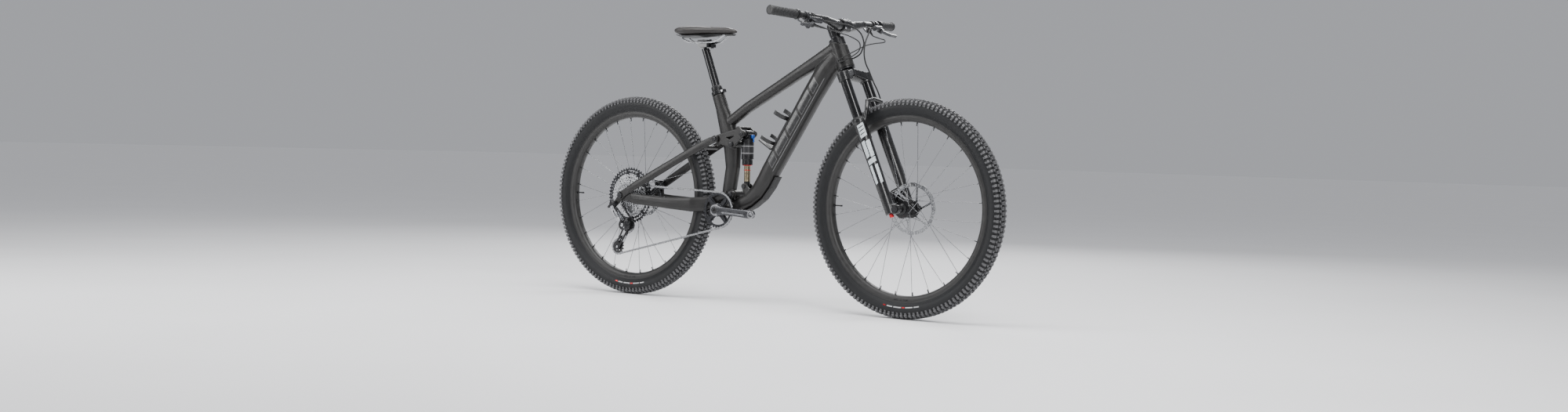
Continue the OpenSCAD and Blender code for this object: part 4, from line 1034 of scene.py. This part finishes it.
def hug_the_pad(shell):
    """Curls the saddle's shell up under the cover, as its moulded edge does."""
    def under(x, y):
        hit = pad_tree.ray_cast(Vector((x, y, 0.85)), Vector((0, 0, 1)))
        return hit[0].z if hit[0] is not None else None

    for v in shell.data.vertices:
        middle_z, here = under(v.co.x, 0), under(v.co.x, v.co.y)
        if middle_z is not None and here is not None:
            v.co.z += min(0.016, here - middle_z) * 0.97
            v.co.y *= 1.04
    shell.data.update()


hug_the_pad(bpy.data.objects["saddle_base"])


def seams():
    """A stitched panel line along each flank of the saddle, and its stitches."""
    lo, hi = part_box("saddle_cover")
    lines, stitches = [], []
    for side in (-1, 1):
        route = []
        for i in range(34):
            t = i / 33
            x = hi.x - 0.012 - (hi.x - lo.x - 0.026) * t
            half = 0.0095 + 0.0475 * (1 / (1 + exp(-(t - 0.60) * 13)))
            hit = pad_tree.ray_cast(Vector((x, side * half, hi.z + 0.05)), Vector((0, 0, -1)))
            if hit[0] is not None:
                route.append(hit[0] + hit[1] * 0.00005)
        lines.append(tube(route, 0.00055, 6, 2))
        pts = curve_points(route, 4)
        for i in range(0, len(pts) - 2, 3):
            p, q = pts[i], pts[i + 1]
            side_way = (q - p).cross(Vector((0, 0, 1))).normalized() * 0.0016 * side
            n = Vector((0, 0, 1)) * 0.0001
            stitches.append(tube([p + side_way + n, p.lerp(q, 0.8) + side_way + n], 0.00035, 5, 1))
    piece("saddle_seams", *join(*lines), SADDLE, "seatpost", angle=60)
    piece("saddle_stitches", *join(*stitches), LINE, "seatpost", angle=60)


seams()

# ---- rear brake, shock ----

softened("rear_caliper", "rear_caliper_body", BLACK, "chainstay", 0.8, 4)
bolts("rear_caliper_bolts", "chainstay", (at(61, 429, 58), (0, 0, 1), 3.6, 2.6, 2.0),
      (at(81, 429, 58), (0, 0, 1), 3.6, 2.6, 2.0), (at(71, 416, 68.6), (0, 1, 0), 5.5, 1.4, 2.6))
foot = at(525, 425)
SHOCK = along(at(523, 613) - foot, foot)
softened("shock_can", "shock_body", BLACK, "shock_can", 0.9, 5)
softened("shock_shaft", "shock_foot", BLACK, "shock_shaft", 0.9, 4)


def shock_rings(name, mat, body, n, *profiles):
    piece(name, *join(*[lathe(mm(p), n, closed=True) for p in profiles]), mat, body, SHOCK)


shock_rings("shock_rod", GOLD, "shock_shaft", 40, [(10.4, 17), (11.08, 17), (11.08, 99), (10.4, 99)])
shock_rings("shock_travel_ring", RED, "shock_shaft", 40,
            [(12.1 + 1.0 * cos(TAU * i / 8), 58 + 1.4 * sin(TAU * i / 8)) for i in range(8)])
shock_rings("shock_body_rings", BLACK, "shock_can", 48,
            *[[(r0, s), (r0 + 0.5, s + 0.2), (r0 + 0.5, s + w), (r0, s + w + 0.2)] for r0, s, w in
              ((18.8, 80, 1.6), (18.8, 84.5, 1.6), (18.8, 89, 1.6), (21.8, 99, 2.2), (21.8, 163, 2.2))])
shock_rings("shock_wiper", RED, "shock_can", 40, [(11.3, 73), (15, 73.4), (17.6, 75), (18.2, 76.6), (11.3, 76.6)])
shock_rings("shock_plain_band", CAST, "shock_can", 56, [(21.95, 112), (22.15, 112), (22.15, 150), (21.95, 150)])
shock_rings("shock_plain_lines", PALE, "shock_can", 56,
            *[[(22.1, s), (22.3, s), (22.3, s + 1.4), (22.1, s + 1.4)] for s in (118, 143)])
softened("shock_lever", "lockout_lever", BLUE, "shock_lever", 0.6, 4)

# ---- derailleur ----

softened("derailleur_body", "derailleur_knuckles", CAST, "chainstay", 0.8, 5)


def hull_loop(p, r1, q, r2, n=8):
    """The outline of two discs joined by their common tangents, in metres."""
    d = q - p
    a = atan2(d.y, d.x)
    b = acos(max(-1, min(1, (r1 - r2) / d.length)))
    near = TAU / 2 - b
    return ([(q.x + x, q.y + z) for x, z in arc(r2, a - b, 2 * b, n)]
            + [(p.x + x, p.y + z) for x, z in arc(r1, a + TAU / 2 - near, 2 * near, n)])


def derailleur():
    g, t = Vector((GUIDE.x, GUIDE.z)), Vector((TENSION.x, TENSION.z))
    hanger = Vector((at(-30, 339).x, at(-30, 339).z))
    low, high = g + Vector((-0.006, 0.020)), hanger + Vector((0.003, -0.014))

    def disc(p, steps, profile):
        return turned(profile, steps, across((p.x, 0, p.y)))

    def cheek(r1, y0, y1):
        windows = [hull_loop(g.lerp(t, a), ra, g.lerp(t, b), rb)
                   for a, ra, b, rb in ((0.27, 0.0062, 0.52, 0.0058), (0.66, 0.0052, 0.76, 0.0048))]
        return plate([hull_loop(g, r1, t, 0.0118, 14), *windows], y0, y1, 0.0003)

    def bar(p, r1, q, r2, y0, y1, bevel, *holes):
        return plate([hull_loop(p, r1, q, r2), *holes], y0, y1, bevel)

    def screw(p, y, side, r, h, socket):
        return (p.x, y, p.y), (0, side, 0), r, h, socket

    pins = [disc(p, 16, [(2.5, -57.4), (2.5, -42.6)]) for p in (g, t)]
    stub = disc(g, 24, [(4.95, -76), (4.95, -57)])
    o = piece("derailleur_cage_plates", *join(cheek(0.0138, -0.0573, -0.0555), *pins, stub), BLACK, "derailleur_cage",
              angle=30)
    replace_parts(o, "derailleur_cage")
    piece("derailleur_inner_plate", *cheek(0.0118, -0.0445, -0.0427), STEEL, "derailleur_cage", angle=30)
    bolts("pulley_bolts", "derailleur_cage", screw(t, -0.0574, -1, 4.0, 1.2, 1.6), screw(t, -0.0426, 1, 4.0, 1.0, 1.6),
          screw(g, -0.0426, 1, 4.0, 1.0, 1.6))
    bolts("derailleur_bolts", "chainstay", screw(hanger, -0.097, -1, 6.4, 1.4, 2.9),
          screw(g + Vector((-0.008, 0.014)), -0.0801, -1, 5.0, 1.2, 2.2), screw(g, -0.0801, -1, 9.0, 1.2, 3.2))
    # the two knuckles with the links between them, the clutch cover, the spring and the cable's arm
    knuckles = [disc(hanger, 32, [(9, -99.4), (12.4, -98.6), (13.2, -97.0), (13.2, -84.5), (12.2, -83.4)]),
                disc(g, 40, [(8, -87.6), (16.5, -86.8), (18.6, -85.0), (19.2, -82.0), (19.2, -63.2), (18.0, -61.8)]),
                bar(g + Vector((0.004, 0.006)), 0.0125, g + Vector((0.021, 0.010)), 0.0050, -0.0840, -0.0700, 0.0008),
                bar(hanger, 0.0090, hanger + Vector((-0.020, -0.012)), 0.0042, -0.0950, -0.0880, 0.0006)]
    piece("derailleur_knuckles", *join(*knuckles), BLACK, "chainstay", angle=30)
    window = hull_loop(low.lerp(high, 0.24), 0.0040, low.lerp(high, 0.70), 0.0036)
    links = [bar(low, 0.0085, high, 0.0078, -0.1020, -0.0985, 0.0005, window),
             bar(low + Vector((0.010, 0.002)), 0.0050, high + Vector((0.008, 0.0)), 0.0046, -0.0900, -0.0865, 0.0005)]
    coil = [(5.2 + x, z) for x, z in arc(0.9, 0, TAU * 5 / 6, 5)]
    for k in range(7):  # the return spring's coils
        c = low.lerp(high, 0.30 + 0.06 * k)
        links.append(turned(coil, 16, along((high.x - low.x, 0, high.y - low.y), (c.x, -0.0945, c.y), (0, 1, 0)),
                            closed=True))
    piece("derailleur_links", *join(*links), STEEL, "chainstay", angle=30)
    bolts("derailleur_link_pins", "chainstay", screw(low, -0.1020, -1, 3.6, 0.9, 1.5),
          screw(high, -0.1020, -1, 3.6, 0.9, 1.5), screw(g, -0.0876, -1, 6.0, 1.0, 2.4),
          screw(g + Vector((0.010, -0.009)), -0.0872, -1, 2.4, 0.8, 1.0))
    for name, c in (("guide_pulley", g), ("tension_pulley", t)):
        loops = [teeth(PULLEY_TEETH, tip=2.6)] + [circle(0.0032, 12, *polar(0.0125, TAU * k / 6))
            for k in range(6)] + [circle(0.0068, 24)]
        wheel = plate(loops, CHAIN_Y - 0.0009, CHAIN_Y + 0.0009, 0.0002)
        hub = turned([(2.9, -4.9), (6.4, -4.9), (7, -4.2), (7, 4.2), (6.4, 4.9), (2.9, 4.9)], 28,
                     across((0, CHAIN_Y, 0)), closed=True)
        o = piece(name + "_wheel", *join(wheel, hub), PLASTIC, name, Matrix.Translation((c.x, 0, c.y)), angle=28)
        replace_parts(o, name)


derailleur()

# ---- fork ----

softened("fork_crown", "crown_forging", FORK, "steerer", 1.4, 6)
softened("fork_lowers", "fork_legs", FORK, "fork_slider", 1.5, 6)
finish_node("fork_stanchions", SLIDE)
finish_node("fork_seals", RUBBER)
LEG_X, LEG_Y = 19.0, 66.0


def leg_radius(s):
    return 18 + 3.5 * min(1.0, (s + 8) / 278) if s < 322 else 23


def leg_patch(side, a0, a1, s0, s1, slant, lift=0.25):
    """A marking on a lower leg, from angle a0 to a1 out of its outer side, s0 to s1 along it."""
    steps, rows = 8, 3

    def spot(i, j):
        a = a0 + (a1 - a0) * i / steps
        s = s0 + (s1 - s0) * j / rows + slant * (i / steps - 0.5)
        r = leg_radius(s) + lift
        return steer(LEG_X + r * sin(a), side * (LEG_Y + r * cos(a)), s)

    return grid([[spot(i, j) for j in range(rows + 1)] for i in range(steps + 1)])


marks, thin = [], []
for side in (-1, 1):
    for s0, s1, a0, a1 in ((269, 316, -0.12, 1.02), (197, 255, -0.34, 0.30), (197, 255, 0.44, 1.16),
                           (174, 191, -0.34, 1.16), (102, 167, -0.34, 0.16), (102, 167, 0.62, 1.16)):
        marks.append(leg_patch(side, a0, a1, s0, s1, 9 * (a1 - a0) / 1.5))
    for s in (280, 292, 304):
        thin.append(leg_patch(side, 0.0, 0.9, s, s + 3.2, 6, lift=0.4))
piece("fork_panels", *join(*marks), DECAL, "fork_slider")
piece("fork_panel_bars", *join(*thin), FORK, "fork_slider")

caps = []
for side, profile in ((1, [(0.001, 3.2), (5, 3.2), (5.2, 5.8), (9.5, 5.6), (10.4, 4.6), (14.6, 4.2), (15.6, 3.0),
                           (15.8, 0), (15.8, -2)]), (-1, [(0.001, 6.4), (9.5, 6.4), (10.6, 5.6), (11, 3.2),
        (14.6, 3.0), (15.6, 2.0), (15.8, 0), (15.8, -2)])):
    caps.append(turned(profile, 40, STEER @ Matrix.Translation((LEG_X / 1000, side * LEG_Y / 1000, 0.5065))))
piece("fork_top_caps", *join(*caps), BLACK, "steerer", angle=28)
outline = [polar((7.4 if i % 4 < 2 else 6.7) / 1000, TAU * i / 48) for i in range(48)]
rows = [[Vector((x * f, y * f, h / 1000)) for x, y in outline] for f, h in ((0.86, 0), (1, 0.9), (1, 10.6),
    (0.86, 11.6))]
o = piece("rebound_dial", *loft(rows), RED, "rebound_knob", STEER @ Matrix.Translation((LEG_X / 1000, -LEG_Y / 1000,
    -0.020)), angle=30)
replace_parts(o, "rebound_knob")
softened("front_caliper", "front_caliper_body", BLACK, "fork_slider", 0.8, 4)
outward = STEER.to_3x3() @ Vector((0, 1, 0))
bolts("front_caliper_bolts", "fork_slider", (steer(-28, 53, 50), outward, 3.6, 2.0, 2.0),
      (steer(-28, 53, 76), outward, 3.6, 2.0, 2.0), (steer(-20, 57, 62), outward, 6, 1.2, 2.6))

# ---- cockpit ----

finish_node("headset_spacers", BLACK)
softened("stem", "stem_forging", BLACK, "steerer", 0.9, 5)
softened("stem_faceplate", "stem_clamp_plate", BLACK, "steerer", 0.9, 5)
fwd = STEER.to_3x3() @ Vector((1, 0, 0))
bolts("stem_face_bolts", "steerer", *[(steer(60.0, y, 679.5 + s), fwd, 3.4, 2.2, 1.9) for y in (-17, 17)
                                      for s in (-17.5, 17.5)])
bolts("stem_steerer_bolts", "steerer", *[(steer(-18.2, 9, 679.5 + s), STEER.to_3x3() @ Vector((-0.3, 1, 0)), 3.2, 2.0,
                                          1.8) for s in (-11, 11)])
bolts("top_cap_bolt", "steerer", (steer(0, 0, 704.4), STEER_AXIS, 4.4, 1.8, 2.2))
BAR = [(44.5, 0, 679.5, 17.4), (44.5, 30, 679.5, 17.4), (44.5, 48, 679.5, 17.3), (47, 66, 682, 15.4),
       (52.5, 112, 688, 12), (53.5, 136, 690, 11.1), (15.5, 374, 720.5, 11.1)]


def handlebar():
    pts = [(x, -y, s, r) for x, y, s, r in BAR[:0:-1]] + BAR
    smoothing = 8

    def radius(u):
        f = u * (len(pts) - 1)
        i = min(int(f), len(pts) - 2)
        w = f - i
        w = w * w * (3 - 2 * w)
        return pts[i][3] / 1000 * (1 - w) + pts[i + 1][3] / 1000 * w

    route = [steer(x, y, s) for x, y, s, _ in pts]
    o = piece("riser_bar", *tube(route, radius, 32, smoothing), CARBON_BAR, "steerer", angle=60)
    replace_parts(o, "handlebar")


handlebar()


def bar_point(y, side):
    f = (y - 136) / 0.9795
    return steer(53.5 - 0.1567 * f, side * (136 + 0.9795 * f), 690 + 0.1257 * f)


def grips():
    parts, collars, plugs, specs = [], [], [], []
    n, k, bore = 132, 96, 11.25
    for side in (-1, 1):
        p, q = bar_point(258.2, side), bar_point(374, side)
        length = (q - p).length
        rows = []
        for i in range(n + 1):
            z = length * i / n
            end = min(1.0, i / 3, (n - i) / 3)
            ribs = 1.0 if (i // 3) % 2 else 0.0
            ring = []
            for j in range(k):
                a = TAU * j / k
                u, v = a * 12 / 2, z * 1000 * 0.42
                waffle = max(0.0, sin(u + v)) * 0.5 + max(0.0, sin(u - v)) * 0.5
                mix = 0.5 + 0.5 * tanh(4 * sin(a + 0.6))
                r = 14.5 + end * (0.35 + 0.95 * (waffle * mix + ribs * 0.8 * (1 - mix)))
                ring.append(Vector((*polar(r / 1000, a), z)))
            rows.append(ring)
        rows += [[Vector((*polar(bore / 1000, TAU * j / k), z)) for j in range(k)] for z in (length, 0)]
        parts.append(moved(loft(rows, closed=True), along(q - p, p, (1, 0, 0))))
        p = bar_point(250, side)
        collars.append(turned([(bore, 0), (16.4, 0), (17.4, 0.9), (17.4, 7.2), (16.4, 8.1), (bore, 8.1)], 48,
                              along(q - p, p, (1, 0, 0)), closed=True))
        p = bar_point(374.2, side)
        plugs.append(turned([(0.001, 2.4), (9, 2.9), (13, 2.8), (15.4, 2.2), (16.4, 0.8), (16.4, 0)], 40,
                            along(bar_point(377, side) - p, p, (1, 0, 0))))
        d = (STEER.to_3x3() @ Vector((-0.3, 0, -0.95))).normalized()
        specs.append((bar_point(254, side) + d * 0.0172, d, 2.6, 1.2, 1.4))
    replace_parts(piece("lock_on_grips", *join(*parts), GRIP, "steerer", angle=70), "grips")
    piece("grip_collars", *join(*collars), BLACK, "steerer", angle=30)
    piece("grip_end_plugs", *join(*plugs), PLASTIC, "steerer", angle=40)
    bolts("grip_collar_bolts", "steerer", *specs)


grips()
softened("brake_bodies", "brake_cylinders", LEVER, "steerer", 0.7, 4)
softened("brake_lever_right", "brake_blade_right", LEVER, "brake_lever_right", 0.7, 6)
softened("brake_lever_left", "brake_blade_left", LEVER, "brake_lever_left", 0.7, 6)
softened("shifter_body", "shifter_case", PLASTIC, "steerer", 0.7, 4)
softened("dropper_remote", "dropper_remote_mount", PLASTIC, "steerer", 0.7, 4)
softened("shift_lever", "shift_paddle", LEVER, "shift_lever", 0.6, 5)
softened("release_lever", "release_paddle", LEVER, "release_lever", 0.6, 5)
softened("dropper_lever", "dropper_paddle", LEVER, "dropper_lever", 0.6, 5)

ROUTES = {
    "rear_brake_hose": (2.5, [
        (943.6, -158.8, 996.3), (948, -136, 995), (976, -108, 992), (1010, -84, 984), (1030, -58, 962),
        (1028, -32, 930), (1006, -8, 908), (980, 18, 895), (950, 31, 884), (929, 33, 880)]),
    "front_brake_hose": (2.5, [
        (943.6, 158.8, 996.3), (948, 136, 995), (964, 104, 988), (982, 66, 968), (988, 38, 936),
        (990, 30, 900), (994, 34, 868), (1004, 44, 838), (1016, 56, 800), (1026, 70, 768),
        (1030, 88, 730), (1036, 93, 690), (1058, 94, 640), (1100, 94, 545), (1130, 92, 478),
        (1114, 88, 448), (1108, 76, 437), (1102, 62, 430), (1100, 48, 424)]),
    "shift_cable": (2.0, [
        (931.2, -161.5, 978), (948.6, -142.3, 971.4), (984, -122, 960), (1016, -100, 948), (1036, -74, 930),
        (1020, -46, 906), (990, -36, 888), (958, -36, 874), (931, -34.5, 864)]),
    "dropper_cable": (2.0, [
        (928.8, 165.2, 979.1), (947.2, 149, 968.2), (984, 134, 958), (1018, 116, 950), (1032, 88, 940),
        (1018, 52, 934), (1006, 12, 924), (984, -20, 904), (957, -38, 886), (931, -34, 876)]),
}


def control_lines():
    made = []
    for name, (r, pts) in ROUTES.items():
        route = [at(x, z, y) for x, y, z in pts]
        part = tube(route, r / 1000, 12, 6)
        p, q = route[0], route[1]
        boot = turned([(r, 0), (r + 1.6, 0), (r + 1.6, 9), (r + 1.0, 11), (r + 0.9, 18), (r + 0.2, 22), (r, 22)], 16,
                      along(q - p, p, (1, 0, 0)), closed=True)
        o = piece(name, *join(part, boot), RUBBER, None, angle=60)
        if name == "front_brake_hose":
            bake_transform(o)
        else:
            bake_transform(o)
        made.append(o)
    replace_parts(made[0], "control_lines")


control_lines()
